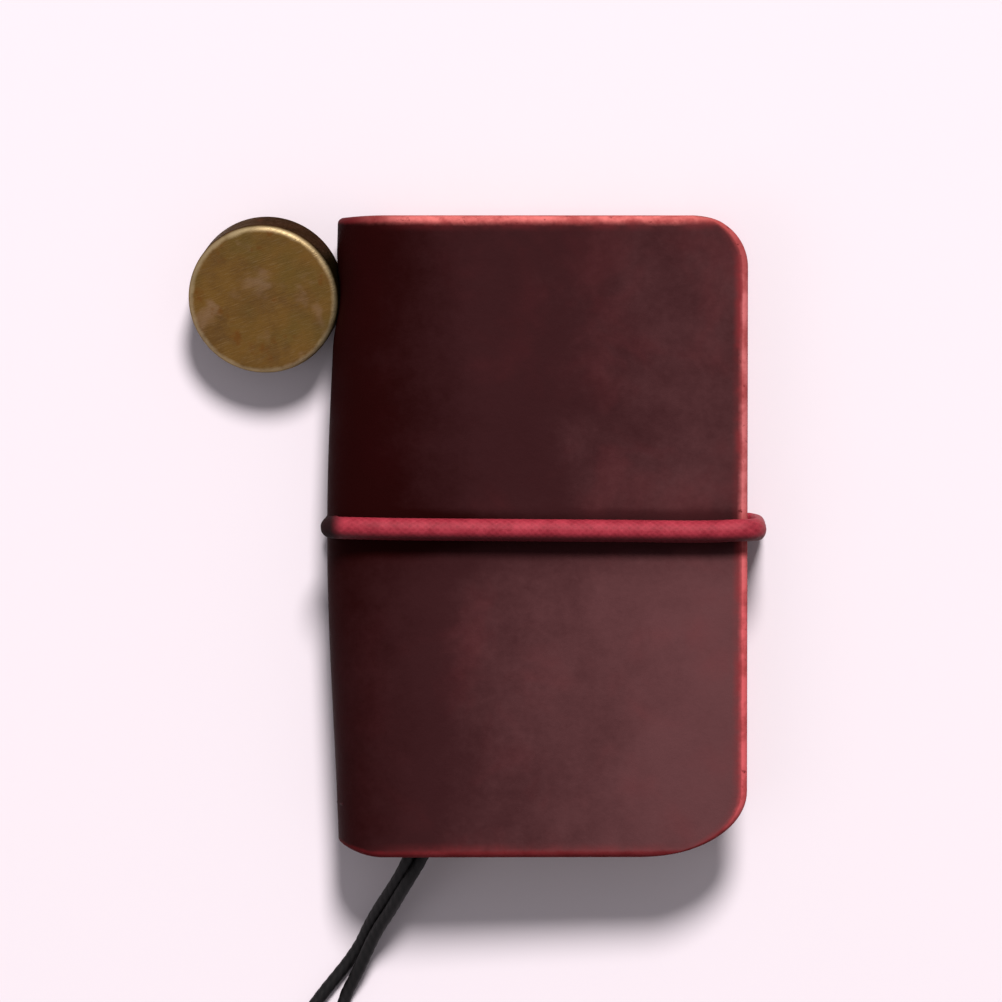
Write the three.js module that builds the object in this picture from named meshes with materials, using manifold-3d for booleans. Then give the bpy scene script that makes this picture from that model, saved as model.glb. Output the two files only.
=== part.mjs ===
// A pocket notebook: a folded leather cover with three stitched booklets, a round
// elastic that closes it, and a cord page marker with a brass disc.
//
// Millimetres, +Z up. The notebook lies on its back cover. While it is built, x runs
// from the spine's outer face to the fore edge, y from tail to head, and y = 0 is half
// way up the cover. At the end the whole object is moved over its own middle.

import * as THREE from 'three';
import { mergeVertices } from 'three/addons/utils/BufferGeometryUtils.js';
import Module from 'manifold-3d';

const wasm = await Module();
wasm.setup();

// Leather cover
const coverHeight = 90.4;
const coverWidth = 57.9;
const leather = 1.8;
const headCornerRadius = 7.2;
const tailCornerWidth = 14.8;
const tailCornerHeight = 9.3;
const spineDepth = 6.5;
const spineBow = 1.3;
const headScoop = 0.3;
const tailScoop = 1.5;
const hingeAngle = 70;
const panelGap = 0.3;

// Booklets
const endOverhang = 4.2;
const foreOverhang = 3;
const bookletHeight = coverHeight - 2 * endOverhang;
const bookletFore = coverWidth - foreOverhang;
const bookletCorner = 4;
const bookletThickness = 2.8;
const bookletWaist = 2.1;
const foldReach = 1.35;
const foldToSpine = 5.35;
const card = 0.3;
const paperGap = 0.1;
const stackGap = 0.3;
const waistGap = 0.15;
const leafStart = 1.6;
const middlePackTop = 0.46;
const frontPackBottom = 0.54;
const threadRadius = 0.25;
const threadLength = 54;

// Closure elastic
const elasticRadius = 1.5;
const bandY = 1.1;
const bandClearance = 0.15;
const flatHalfHeight = 0.93;
const flatHalfWidth = 1.8;
const bandHoleAngle = 35;
const bandHoleClearance = 0.25;
const bandTuck = 1.2;
const bandRise = 1.1;
const bandLiftAngle = 16;
const pressStart = [0.035, 0.11];
const pressEnd = [0.893, 0.935];
const waistReach = 24;
const knotRadius = 1.8;

// Binding elastic
const bindingRadius = 0.35;
const bindingHoleInset = 7.2;
const bindingHoleY = coverHeight / 2 - bindingHoleInset;
const bindingHoleClearance = 0.25;
const bindingClearance = 0.15;
const bindingKnotRadius = 0.9;
const bindingInside = 3.4;
const bindingEnd = 0.7;
const linkSink = 0.1;

// Page marker
const cordRadius = 0.9;
const markerGap = 2.1;
const strandSpacing = 2.1;
const markerHoleClearance = 0.25;
const tetherInset = 11.7;
const tetherY = coverHeight / 2 - tetherInset;
const tetherZ = 6.4;
const tetherReach = 2.6;
const tetherBend = [4.2, -0.6, 8.3];
const bightReach = 1.4;
const discRadius = 10.35;
const discThickness = 7;
const discBevel = 0.75;
const discTilt = 15;
const discLeanAngle = 240;
const discGap = 0.32;
const discTuck = 0.32;
const socketDepth = 4;
const tailKnotRadius = 1.5;

// The marker cord's middle line in the gutter, from the spine's hole to the tail edge
const gutterRoute = [
  [6.6, tetherY - 2.7], [9, tetherY - 9.5], [10.8, 12], [11.6, 0],
  [11.9, -14], [11.9, -30], [11.5, -40], [11.15, -44.6],
];

// Free stretches of the marker cord, from the tail edge down to the table
const leftTail = [
  [10.0, -45.3, 9.05], [9.4, -46.8, 8.8], [8.3, -48.9, 7.9], [6.9, -51.3, 6.4],
  [5.4, -53.9, 4.5], [4.0, -56.5, 2.7], [2.8, -59.0, 1.4], [1.3, -61.3, 0.95],
  [-0.5, -63.6, 0.9], [-2.2, -65.7, 0.9], [-4.1, -68.3, 0.9], [-5.6, -71.2, 0.9],
  [-6.6, -74.4, 0.9], [-7.0, -77.6, 0.9],
];
const rightTail = [
  [12.3, -45.3, 9.05], [11.5, -46.8, 9.1], [10.2, -48.9, 9.0], [8.7, -51.3, 7.9],
  [7.1, -53.9, 6.2], [5.6, -56.3, 4.6], [4.5, -58.4, 3.5], [3.5, -60.6, 2.9],
  [2.6, -62.6, 2.2], [1.7, -64.4, 1.4], [0.9, -66.0, 0.95], [0.2, -68.2, 0.9],
  [-0.2, -71.0, 0.9], [-0.1, -74.2, 0.9], [0.6, -77.4, 0.9], [1.8, -80.2, 0.9],
];

const rad = THREE.MathUtils.degToRad;
const mix = THREE.MathUtils.lerp;
const halfHeight = coverHeight / 2;
const foldX = foldToSpine + foldReach;
const bookletHalf = bookletHeight / 2;

// Finishes
function finish(color, roughness, metalness = 0) {
  return new THREE.MeshStandardMaterial({ color, roughness, metalness });
}
const leatherFinish = () => finish(0x4a1d20, 0.6);
const elasticFinish = () => finish(0xa8404a, 0.75);
const cordFinish = () => finish(0x0d0b0c, 0.7);
const brassFinish = () => finish(0x7a5c2c, 0.45, 0.9);
const kraftFinish = () => finish(0xa98a63, 0.85);
const paperFinish = () => finish(0xe9e0cc, 0.9);
const threadFinish = () => finish(0xd9cfb8, 0.8);

// How far the closed elastic squeezes the stack at a height y: 1 under the band, 0 past its reach
function waist(y) {
  return Math.abs(y) < waistReach ? Math.cos((Math.PI * y) / (2 * waistReach)) ** 2 : 0;
}

// The stack from the table up: each face's height away from the band and under it
const valley = 2 * flatHalfHeight + waistGap;
const faces = {};
{
  let end = 0;
  let pinched = valley;
  const rise = (name, byEnd, byPinched, sloped = false) => {
    end += byEnd;
    pinched += byPinched;
    faces[name] = { end, pinched, sloped };
  };
  rise('backOuter', 0, 0);
  rise('backInner', leather, leather);
  rise('booklet3Bottom', stackGap, waistGap);
  rise('booklet3Top', bookletThickness, bookletWaist);
  rise('booklet2Bottom', stackGap, waistGap);
  rise('booklet2Top', bookletThickness, bookletWaist);
  rise('booklet1Bottom', markerGap, markerGap, true);
  rise('booklet1Top', bookletThickness, bookletWaist, true);
  rise('frontInner', stackGap, waistGap, true);
  rise('frontOuter', leather, leather, true);
}

// Past the marker cord, what lies over it slopes down towards the fore edge
const slopeStart = 15;
const slopeDrop = markerGap - stackGap;
function drop(x) {
  return (slopeDrop * Math.max(0, x - slopeStart)) / (coverWidth - slopeStart);
}
function height(name, x, y) {
  const face = faces[name];
  return mix(face.end, face.pinched, waist(y)) - (face.sloped ? drop(x) : 0);
}

// The spine's outer face: half an ellipse from the back cover (-90) round to the front (90)
function spineLeft(y) {
  return -spineBow * Math.cos((Math.PI * y) / (coverHeight + 2)) ** 1.6;
}
function spinePoint(angle, row, inward) {
  const a = rad(angle);
  const reach = spineDepth - spineLeft(row);
  const low = height('backOuter', 0, row);
  const high = height('frontOuter', 0, row);
  const half = (high - low) / 2;
  const normal = new THREE.Vector2(Math.cos(a) / reach, -Math.sin(a) / half).normalize();
  return new THREE.Vector3(
    spineDepth - reach * Math.cos(a) + normal.x * inward,
    row - scoop(row) * Math.cos(a) ** 2,
    low + half + half * Math.sin(a) + normal.y * inward,
  );
}
// The cover's ends are drawn in where the leather goes round the spine
function scoop(row) {
  const start = halfHeight - headCornerRadius;
  const near = Math.max(0, (Math.abs(row) - start) / (halfHeight - start));
  return near * (row > 0 ? headScoop : -tailScoop);
}

// The fore edge at a height y, with its two rounded corners
function foreEdge(y) {
  const low = -halfHeight + tailCornerHeight;
  const high = halfHeight - headCornerRadius;
  const inset = (over) => 1 - Math.sqrt(Math.max(0, 1 - over ** 2));
  if (y > high) return coverWidth - headCornerRadius * inset((y - high) / headCornerRadius);
  if (y < low) return coverWidth - tailCornerWidth * inset((low - y) / tailCornerHeight);
  return coverWidth;
}

// A closed body through a row of outlines that all have the same number of points
function loft(sections) {
  const count = sections[0].length;
  const positions = [];
  const index = [];
  for (const section of sections) {
    for (const p of section) positions.push(p.x, p.y, p.z);
  }
  for (let i = 0; i + 1 < sections.length; i += 1) {
    for (let j = 0; j < count; j += 1) {
      const a = i * count + j;
      const b = i * count + ((j + 1) % count);
      index.push(a, b, b + count, a, b + count, a + count);
    }
  }
  const outline = (section) => section.map((p) => new THREE.Vector2(p.x, p.z));
  const last = (sections.length - 1) * count;
  const clockwise = THREE.ShapeUtils.isClockWise(outline(sections[0]));
  for (const [a, b, c] of THREE.ShapeUtils.triangulateShape(outline(sections[0]), [])) {
    index.push(...(clockwise ? [a, b, c] : [a, c, b]));
  }
  for (const [a, b, c] of THREE.ShapeUtils.triangulateShape(outline(sections.at(-1)), [])) {
    index.push(...(clockwise ? [last + a, last + c, last + b] : [last + a, last + b, last + c]));
  }
  const geometry = new THREE.BufferGeometry();
  geometry.setAttribute('position', new THREE.Float32BufferAttribute(positions, 3));
  geometry.setIndex(index);
  return facingOut(geometry);
}

// Turns every face over if the body came out inside out
function facingOut(geometry) {
  const p = geometry.getAttribute('position');
  const index = geometry.getIndex().array;
  const a = new THREE.Vector3();
  const b = new THREE.Vector3();
  const c = new THREE.Vector3();
  let volume = 0;
  for (let i = 0; i < index.length; i += 3) {
    a.fromBufferAttribute(p, index[i]);
    b.fromBufferAttribute(p, index[i + 1]);
    c.fromBufferAttribute(p, index[i + 2]);
    volume += a.dot(b.cross(c));
  }
  if (volume < 0) {
    for (let i = 0; i < index.length; i += 3) [index[i], index[i + 1]] = [index[i + 1], index[i]];
  }
  return geometry;
}

// A cord of an oval section through the given centres. Width is measured across "side".
function cordBody(centres, sides, halfWidth, halfDepth = halfWidth, side = null) {
  const count = centres.length;
  const tangents = centres.map((_, i) => {
    const before = centres[Math.max(0, i - 1)];
    const after = centres[Math.min(count - 1, i + 1)];
    return after.clone().sub(before).normalize();
  });
  let across = side ? side.clone() : new THREE.Vector3(0, 0, 1);
  const sections = centres.map((centre, i) => {
    across = across.clone().addScaledVector(tangents[i], -across.dot(tangents[i])).normalize();
    const up = tangents[i].clone().cross(across);
    const width = typeof halfWidth === 'function' ? halfWidth(i / (count - 1)) : halfWidth;
    const depth = typeof halfDepth === 'function' ? halfDepth(i / (count - 1)) : halfDepth;
    return Array.from({ length: sides }, (_, j) => {
      const a = (2 * Math.PI * (j + 0.5)) / sides;
      const outward = centre.clone().addScaledVector(across, width * Math.cos(a));
      return outward.addScaledVector(up, depth * Math.sin(a));
    });
  });
  return closeTube(sections);
}

// Joins round sections side by side and closes both ends with a fan
function closeTube(sections) {
  const sides = sections[0].length;
  const positions = sections.flat().flatMap((p) => [p.x, p.y, p.z]);
  const index = [];
  for (let i = 0; i + 1 < sections.length; i += 1) {
    for (let j = 0; j < sides; j += 1) {
      const a = i * sides + j;
      const b = i * sides + ((j + 1) % sides);
      index.push(a, b, b + sides, a, b + sides, a + sides);
    }
  }
  const last = (sections.length - 1) * sides;
  for (let j = 1; j + 1 < sides; j += 1) {
    index.push(0, j + 1, j, last, last + j, last + j + 1);
  }
  const geometry = new THREE.BufferGeometry();
  geometry.setAttribute('position', new THREE.Float32BufferAttribute(positions, 3));
  geometry.setIndex(index);
  return facingOut(geometry);
}

function smooth(points, steps) {
  const list = points.map((p) => (Array.isArray(p) ? new THREE.Vector3(...p) : p));
  return new THREE.CatmullRomCurve3(list, false, 'centripetal').getSpacedPoints(steps);
}

// The same curve with one point more between each two, so that short turns stay round
function threadThrough(points) {
  const list = points.map((p) => new THREE.Vector3(...p));
  return new THREE.CatmullRomCurve3(list, false, 'centripetal').getPoints(2 * (list.length - 1));
}

// Solid cutting
function toSolid(geometry) {
  const bare = geometry.clone();
  bare.deleteAttribute('normal');
  bare.deleteAttribute('uv');
  const merged = mergeVertices(bare, 1e-4);
  return new wasm.Manifold(new wasm.Mesh({
    numProp: 3,
    vertProperties: new Float32Array(merged.getAttribute('position').array),
    triVerts: new Uint32Array(merged.getIndex().array),
  }));
}
function cutAway(geometry, tools) {
  let solid = toSolid(geometry);
  for (const tool of tools) solid = solid.subtract(toSolid(tool));
  const mesh = solid.getMesh();
  const result = new THREE.BufferGeometry();
  result.setAttribute('position', new THREE.Float32BufferAttribute(mesh.vertProperties, 3));
  result.setIndex(Array.from(mesh.triVerts));
  return result;
}

const meshes = {};
function add(name, geometry, material) {
  const shaded = geometry.index ? geometry.toNonIndexed() : geometry;
  shaded.computeVertexNormals();
  const mesh = new THREE.Mesh(shaded, material);
  mesh.name = name;
  meshes[name] = mesh;
  return mesh;
}

// Rows from tail to head: the raw ends' half round, the corners, and the waist
const endRounds = [75, 45, 0].map((a) => (
  { inset: (leather / 2) * (1 - Math.sin(rad(a))), full: Math.cos(rad(a)) }
));
const cornerTurns = [48, 25, 0];
const waistRows = [-1, -0.75, -0.5, -0.25, 0, 0.25, 0.5, 0.75, 1].map((f) => f * waistReach);
function coverRows() {
  const corner = (size, a) => size * (1 - Math.sin(rad(a)));
  return [
    ...endRounds.map(({ inset, full }) => ({ y: -halfHeight + inset, full })),
    ...cornerTurns.map((a) => ({ y: -halfHeight + corner(tailCornerHeight, a), full: 1 })),
    ...waistRows.map((y) => ({ y, full: 1 })),
    ...cornerTurns.toReversed().map((a) => ({ y: halfHeight - corner(headCornerRadius, a), full: 1 })),
    ...endRounds.toReversed().map(({ inset, full }) => ({ y: halfHeight - inset, full })),
  ];
}

// Half round of the raw fore edge, from the outer face to the inner one
const noseTurns = [45, 0, -45];
const panelStops = [0.2, 0.6];

// A flat panel's outline at one row: its outer face, the half round fore edge, its inner face
function panelSection(row, outerName, up, arcAngles, start) {
  const half = leather / 2;
  const fore = foreEdge(row.y);
  const near = [];
  for (const angle of arcAngles) near.push((inward) => spinePoint(angle, row.y, inward));
  const flatAt = (x) => (inward) => new THREE.Vector3(x, row.y, height(outerName, x, row.y) - up * inward);
  const end = fore - half;
  near.push(flatAt(start));
  for (const stop of panelStops) near.push(flatAt(mix(slopeStart, end, stop)));
  near.push(flatAt(end));
  const outer = near.map((at) => at(half * (1 - row.full)));
  const inner = near.map((at) => at(half * (1 + row.full))).reverse();
  const nose = noseTurns.map((turn) => {
    const x = end + half * Math.cos(rad(turn)) * Math.max(row.full, 0.3);
    const depth = half * (1 - row.full * Math.sin(rad(turn)));
    return new THREE.Vector3(x, row.y, height(outerName, x, row.y) - up * depth);
  });
  return [...outer, ...nose, ...inner];
}

function frontCover() {
  const slip = (panelGap / 2 / spineDepth) * THREE.MathUtils.RAD2DEG;
  const arc = [hingeAngle + slip, (hingeAngle + 90) / 2, 89];
  return loft(coverRows().map((row) => panelSection(row, 'frontOuter', 1, arc, slopeStart)));
}

function backCover() {
  return loft(coverRows().map((row) => panelSection(row, 'backOuter', -1, [], spineDepth + panelGap / 2)));
}

function spine() {
  const slip = (panelGap / 2 / spineDepth) * THREE.MathUtils.RAD2DEG;
  const steps = 11;
  const half = leather / 2;
  const angles = Array.from({ length: steps + 1 }, (_, i) => mix(-90 + slip, hingeAngle - slip, i / steps));
  const sections = coverRows().map(({ y, full }) => {
    const outer = angles.map((a) => spinePoint(a, y, half * (1 - full)));
    const inner = angles.map((a) => spinePoint(a, y, half * (1 + full))).reverse();
    return [...outer, ...inner];
  });
  const holes = [
    cordBody(bandStub(1), 10, elasticRadius + bandHoleClearance),
    cordBody(bandStub(-1), 10, elasticRadius + bandHoleClearance),
    cordBody(bindingRoute(), 8, bindingRadius + bindingHoleClearance),
    cordBody(tetherRoute(1), 8, cordRadius + markerHoleClearance),
    cordBody(tetherRoute(-1), 8, cordRadius + markerHoleClearance),
  ];
  return cutAway(loft(sections), holes);
}

// Booklets
const bookletRows = [
  ...[70, 35, 0].map((a) => -bookletHalf + bookletCorner * (1 - Math.sin(rad(a)))),
  ...waistRows,
  ...[0, 35, 70].map((a) => bookletHalf - bookletCorner * (1 - Math.sin(rad(a)))),
];
bookletRows[0] = -bookletHalf;
bookletRows[bookletRows.length - 1] = bookletHalf;
function bookletEdge(y) {
  const over = Math.max(0, Math.abs(y) - (bookletHalf - bookletCorner));
  return bookletFore - bookletCorner * (1 - Math.sqrt(Math.max(0.02, 1 - (over / bookletCorner) ** 2)));
}
const foldTurns = [90, 126, 162, 198, 234, 270];

// Half of a booklet's thickness at a row, its middle, and how its sheets slope with x
function bookletAt(number, y) {
  const bottom = height(`booklet${number}Bottom`, 0, y);
  const top = height(`booklet${number}Top`, 0, y);
  const slope = faces[`booklet${number}Top`].sloped;
  return { half: (top - bottom) / 2, middle: (top + bottom) / 2, lower: (x) => (slope ? drop(x) : 0) };
}

// One row of a booklet's outline from a list of (x, height over the fold's middle)
function bookletSection(number, y, outline) {
  const at = bookletAt(number, y);
  const fore = bookletEdge(y);
  return outline(at.half, fore).map(([x, z]) => new THREE.Vector3(x, y, at.middle + z - at.lower(x)));
}
function fold(reach, half, turns = foldTurns) {
  return turns.map((a) => [foldX + reach * Math.cos(rad(a)), half * Math.sin(rad(a))]);
}
// Points along a flat sheet's face, so that it bends where the stack begins to slope
function flat(from, to, z) {
  return [[from, z], [slopeStart, z], [to, z]];
}

// A card folded round the whole booklet
function foldedCard(number) {
  return loft(bookletRows.map((y) => bookletSection(number, y, (half, fore) => [
    ...flat(foldX + leafStart, fore, half).reverse(),
    ...fold(foldReach, half),
    ...flat(foldX + leafStart, fore, -half),
    ...flat(foldX + leafStart, fore, card - half).reverse(),
    ...fold(foldReach - card, half - card).reverse(),
    ...flat(foldX + leafStart, fore, half - card),
  ])));
}
// The folded leaves inside it, open at the middle for the binding elastic
const elasticRoom = bindingRadius + bindingClearance;
function foldedLeaves(number) {
  const inset = card + paperGap;
  return loft(bookletRows.map((y) => bookletSection(number, y, (half, fore) => [
    ...flat(foldX + leafStart, fore, half - inset).reverse(),
    ...fold(foldReach - inset, half - inset),
    ...flat(foldX + leafStart, fore, inset - half),
    ...flat(foldX + leafStart, fore, -paperGap).reverse(),
    ...fold(elasticRoom, elasticRoom).reverse(),
    ...flat(foldX + leafStart, fore, paperGap),
  ])));
}
// The half of the first booklet's card or leaves that lies still, with the fold
function halfFolded(number, outside, inside, roomReach, roomHalf) {
  return loft(bookletRows.map((y) => bookletSection(number, y, (half, fore) => [
    ...fold(foldReach - outside, half - outside),
    ...flat(foldX + leafStart, fore, outside - half),
    ...flat(foldX + leafStart, fore, inside(half)).reverse(),
    ...fold(roomReach(half), roomHalf(half)).reverse(),
  ])));
}
// A pack of leaves, or a card, that turns about the fold
function turningSheet(number, low, high) {
  return loft(bookletRows.map((y) => bookletSection(number, y, (half, fore) => [
    ...flat(foldX + leafStart, fore, high(half)),
    ...flat(foldX + leafStart, fore, low(half)).reverse(),
  ])));
}

function booklets() {
  const inset = card + paperGap;
  for (const number of [3, 2]) {
    add(`booklet${number}_card`, foldedCard(number), kraftFinish());
    add(`booklet${number}_leaves`, foldedLeaves(number), paperFinish());
  }
  add('booklet1_card_back', halfFolded(1, 0, (half) => card - half,
    () => foldReach - card, (half) => half - card), kraftFinish());
  add('booklet1_leaves_back', halfFolded(1, inset, () => -paperGap,
    () => elasticRoom, () => elasticRoom), paperFinish());
  const room = (half) => half - inset - 2 * paperGap;
  add('booklet1_leaves_middle', turningSheet(1, () => paperGap,
    (half) => paperGap + middlePackTop * room(half)), paperFinish());
  add('booklet1_leaves_front', turningSheet(1, (half) => paperGap + frontPackBottom * room(half),
    (half) => paperGap + room(half)), paperFinish());
  add('booklet1_card_front', turningSheet(1, (half) => half - card, (half) => half), kraftFinish());
  for (const number of [1, 2, 3]) add(`booklet${number}_thread`, thread(number), threadFinish());
}

// The stitching shows as one long stitch along the outside of the fold
function thread(number) {
  const x = foldToSpine - paperGap - threadRadius;
  const along = [-0.5, -0.4, -0.25, -0.1, 0, 0.1, 0.25, 0.4, 0.5];
  const points = along.map((f) => [x, f * threadLength, bookletAt(number, f * threadLength).middle]);
  return cordBody(smooth(points, 14), 6, threadRadius);
}

// The closure elastic goes out through the spine's front shoulder, over the front cover,
// round the fore edge and back under the back cover into the spine's back shoulder.
function bandStub(side) {
  return [-1.3, -0.6, 0.2, 1].map((f) => spinePoint(side * bandHoleAngle, bandY, -f * leather));
}
function overSpine(side, round, away) {
  const from = bandHoleAngle + bandLiftAngle;
  return [
    spinePoint(side * from, bandY, -mix(round, away, 0.3)),
    spinePoint(side * mix(from, 90, 0.63), bandY, -mix(round, away, 0.85)),
  ];
}
const foreAtBand = foreEdge(bandY);
const bandStops = [0.02, 0.31, 0.6, 0.86].map((f) => mix(slopeStart, foreAtBand, f));
const bandMiddle = (height('frontOuter', foreAtBand, bandY) + height('backOuter', foreAtBand, bandY)) / 2;
function bandHalf(side) {
  const name = side > 0 ? 'frontOuter' : 'backOuter';
  const away = (side > 0 ? elasticRadius : flatHalfHeight) + bandClearance / (side > 0 ? 1 : 2);
  const round = elasticRadius + bandClearance;
  const centreX = foreAtBand - leather / 2;
  const centreZ = height(name, centreX, bandY) - side * (leather / 2);
  const points = [
    spinePoint(side * bandHoleAngle, bandY, bandTuck),
    spinePoint(side * bandHoleAngle, bandY, 0),
    spinePoint(side * (bandHoleAngle + 2), bandY, -bandRise),
    ...overSpine(side, round, away),
  ];
  for (const x of [spineDepth + 2, ...bandStops]) {
    points.push(new THREE.Vector3(x, bandY, height(name, x, bandY) + side * away));
  }
  for (const turn of [90, 60, 30, 0]) {
    const reach = leather / 2 + mix(round, away, (turn / 90) ** 2);
    points.push(new THREE.Vector3(
      centreX + reach * Math.cos(rad(turn)), bandY, centreZ + side * reach * Math.sin(rad(turn)),
    ));
  }
  const middle = bandMiddle + (side * panelGap) / 2;
  points.push(new THREE.Vector3(centreX + leather / 2 + round, bandY, middle));
  return points;
}
function bandFront() {
  return cordBody(smooth(bandHalf(1), 40), 10, elasticRadius, elasticRadius, new THREE.Vector3(0, 1, 0));
}
// Under the back cover the elastic is pressed flat, so that the notebook lies level
function bandBack() {
  const { smoothstep } = THREE.MathUtils;
  const press = (t) => smoothstep(t, ...pressStart) * (1 - smoothstep(t, ...pressEnd));
  const wide = (t) => mix(elasticRadius, flatHalfWidth, press(t));
  const deep = (t) => mix(elasticRadius, flatHalfHeight, press(t));
  return cordBody(smooth(bandHalf(-1), 44), 10, wide, deep, new THREE.Vector3(0, 1, 0));
}
function bandKnot() {
  const centre = spinePoint(0, bandY, leather + waistGap + knotRadius);
  const geometry = new THREE.SphereGeometry(knotRadius, 16, 10);
  geometry.scale(1, 1.15, 1.3);
  geometry.translate(centre.x, bandY, centre.z);
  return geometry;
}

// The binding elastic is one lace: up booklet 3, down booklet 2, up booklet 1, with a
// knot at each end. Between booklets it passes out of one hole in the spine and in at
// the next, and lies in a groove pressed in the leather.
function holeAngle(number, end) {
  const y = end * bindingHoleY;
  const middle = (height('backOuter', 0, y) + height('frontOuter', 0, y)) / 2;
  const half = (height('frontOuter', 0, y) - height('backOuter', 0, y)) / 2;
  return THREE.MathUtils.radToDeg(Math.asin((bookletAt(number, y).middle - middle) / half));
}
function foldTurn(number, end) {
  const z = bookletAt(number, end * bookletHalf).middle;
  const beyond = bookletHalf + bindingRadius + 2 * paperGap;
  return [
    [foldX, end * (bookletHalf + 0.2), z], [foldX - 0.6, end * (beyond + 0.2), z],
    [(foldX + bindingInside) / 2, end * (beyond + 0.4), z], [bindingInside + 0.3, end * beyond, z],
    [bindingInside, end * (bookletHalf - 1), z],
  ];
}
function throughSpine(number, end) {
  const y = end * bindingHoleY;
  return [leather + 2 * bindingRadius, leather / 2, bindingRadius].map((inward) => {
    const p = spinePoint(holeAngle(number, end), y, inward);
    return [p.x, y, p.z];
  });
}
function foldRun(number, direction) {
  const stops = [-0.85 * bookletHalf, ...waistRows, 0.85 * bookletHalf].map((y) => y * direction);
  return stops.map((y) => [foldX, y, bookletAt(number, y).middle]);
}
function link(from, to, end) {
  const y = end * bindingHoleY;
  const p = spinePoint((holeAngle(from, end) + holeAngle(to, end)) / 2, y, linkSink);
  return [[p.x, y, p.z]];
}
function bindingRoute() {
  const start = bookletAt(3, -bookletHalf).middle;
  const finishZ = bookletAt(1, bookletHalf).middle;
  return threadThrough([
    [foldX, -bookletHalf - bindingEnd, start], ...foldRun(3, 1),
    ...foldTurn(3, 1), ...throughSpine(3, 1), ...link(3, 2, 1),
    ...throughSpine(2, 1).reverse(), ...foldTurn(2, 1).reverse(), ...foldRun(2, -1),
    ...foldTurn(2, -1), ...throughSpine(2, -1), ...link(2, 1, -1),
    ...throughSpine(1, -1).reverse(), ...foldTurn(1, -1).reverse(), ...foldRun(1, 1),
    [foldX, bookletHalf + bindingEnd, finishZ],
  ]);
}
function bindingKnot(number, end) {
  const geometry = new THREE.SphereGeometry(bindingKnotRadius, 10, 8);
  const y = end * (bookletHalf + bindingEnd + bindingKnotRadius + 0.2);
  geometry.translate(foldX, y, bookletAt(number, end * bookletHalf).middle);
  return geometry;
}

// The page marker's cord lies doubled in the gutter between booklets 1 and 2
const outerAtTether = spineLeft(tetherY);
function tetherRoute(side) {
  const y = tetherY + (side * strandSpacing) / 2;
  return [-1, 0, 1.2, 2.4].map((x) => new THREE.Vector3(outerAtTether + x, y, tetherZ));
}
function markerGutter(y) {
  return (height('booklet2Top', 0, y) + height('booklet1Bottom', 0, y)) / 2;
}
function strand(side) {
  const half = strandSpacing / 2;
  const points = [
    [outerAtTether + 0.2, tetherY + side * half, tetherZ],
    [outerAtTether + tetherReach, tetherY + side * half, tetherZ + 0.1],
    [tetherBend[0], tetherY + tetherBend[1] + side * half, tetherBend[2]],
  ];
  gutterRoute.forEach(([x, y], i) => {
    const before = gutterRoute[Math.max(0, i - 1)];
    const after = gutterRoute[Math.min(gutterRoute.length - 1, i + 1)];
    const along = new THREE.Vector2(after[0] - before[0], after[1] - before[1]).normalize();
    points.push([x - side * half * along.y, y + side * half * along.x, markerGutter(y)]);
  });
  return cordBody(smooth(points, 34), 8, cordRadius);
}
// The bight turns inside the disc's socket
function bightRoute() {
  const from = outerAtTether - 0.15;
  const half = strandSpacing / 2;
  const turnFrom = from - bightReach;
  const points = [[from, tetherY + half, tetherZ], [turnFrom, tetherY + half, tetherZ]];
  for (const turn of [30, 60, 90, 120, 150]) {
    const x = turnFrom - 0.2 - half * Math.sin(rad(turn));
    points.push([x, tetherY + half * Math.cos(rad(turn)), tetherZ]);
  }
  points.push([turnFrom, tetherY - half, tetherZ], [from, tetherY - half, tetherZ]);
  return smooth(points, 16);
}

// The disc leans on the table with its far rim, and its near rim is held up by the cord,
// where it reaches a little way under the spine's bulge
function disc() {
  const r = discRadius;
  const t = discThickness;
  const b = discBevel;
  const profile = [
    [0, 0], [r - b, 0], [r - 0.3 * b, 0.3 * b], [r, b],
    [r, t - b], [r - 0.3 * b, t - 0.3 * b], [r - b, t], [0, t],
  ];
  const geometry = new THREE.LatheGeometry(profile.map(([x, y]) => new THREE.Vector2(x, y)), 48);
  geometry.rotateX(Math.PI / 2);
  const lean = rad(discLeanAngle);
  const axis = new THREE.Vector3(-Math.sin(lean), Math.cos(lean), 0);
  geometry.applyMatrix4(new THREE.Matrix4().makeRotationAxis(axis, rad(discTilt)));
  geometry.computeBoundingBox();
  const { min, max } = geometry.boundingBox;
  const near = outerAtTether - discGap + discTuck;
  geometry.translate(near - max.x, tetherY - (min.y + max.y) / 2, -min.z);
  const from = outerAtTether + 1;
  const socket = [-1, 0, 1].map((f) => {
    const y = tetherY + (f * strandSpacing) / 2;
    const ends = [from, from - socketDepth / 2 - 1, outerAtTether - discGap - socketDepth];
    return cordBody(ends.map((x) => new THREE.Vector3(x, y, tetherZ)), 8, cordRadius + markerHoleClearance);
  });
  return cutAway(geometry, socket);
}

function tail(points) {
  return cordBody(smooth(points, 18), 8, cordRadius);
}
function tailKnot(points) {
  const end = new THREE.Vector3(...points.at(-1));
  const along = end.clone().sub(new THREE.Vector3(...points.at(-2))).normalize();
  const geometry = new THREE.SphereGeometry(tailKnotRadius, 12, 8);
  geometry.scale(1.15, 1, 1);
  geometry.rotateZ(Math.atan2(along.y, along.x));
  const centre = end.addScaledVector(along, tailKnotRadius * 1.15 + panelGap);
  geometry.translate(centre.x, centre.y, tailKnotRadius);
  return geometry;
}

// The cover
add('back_cover', backCover(), leatherFinish());
add('spine', spine(), leatherFinish());
add('front_cover', frontCover(), leatherFinish());
booklets();

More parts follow.
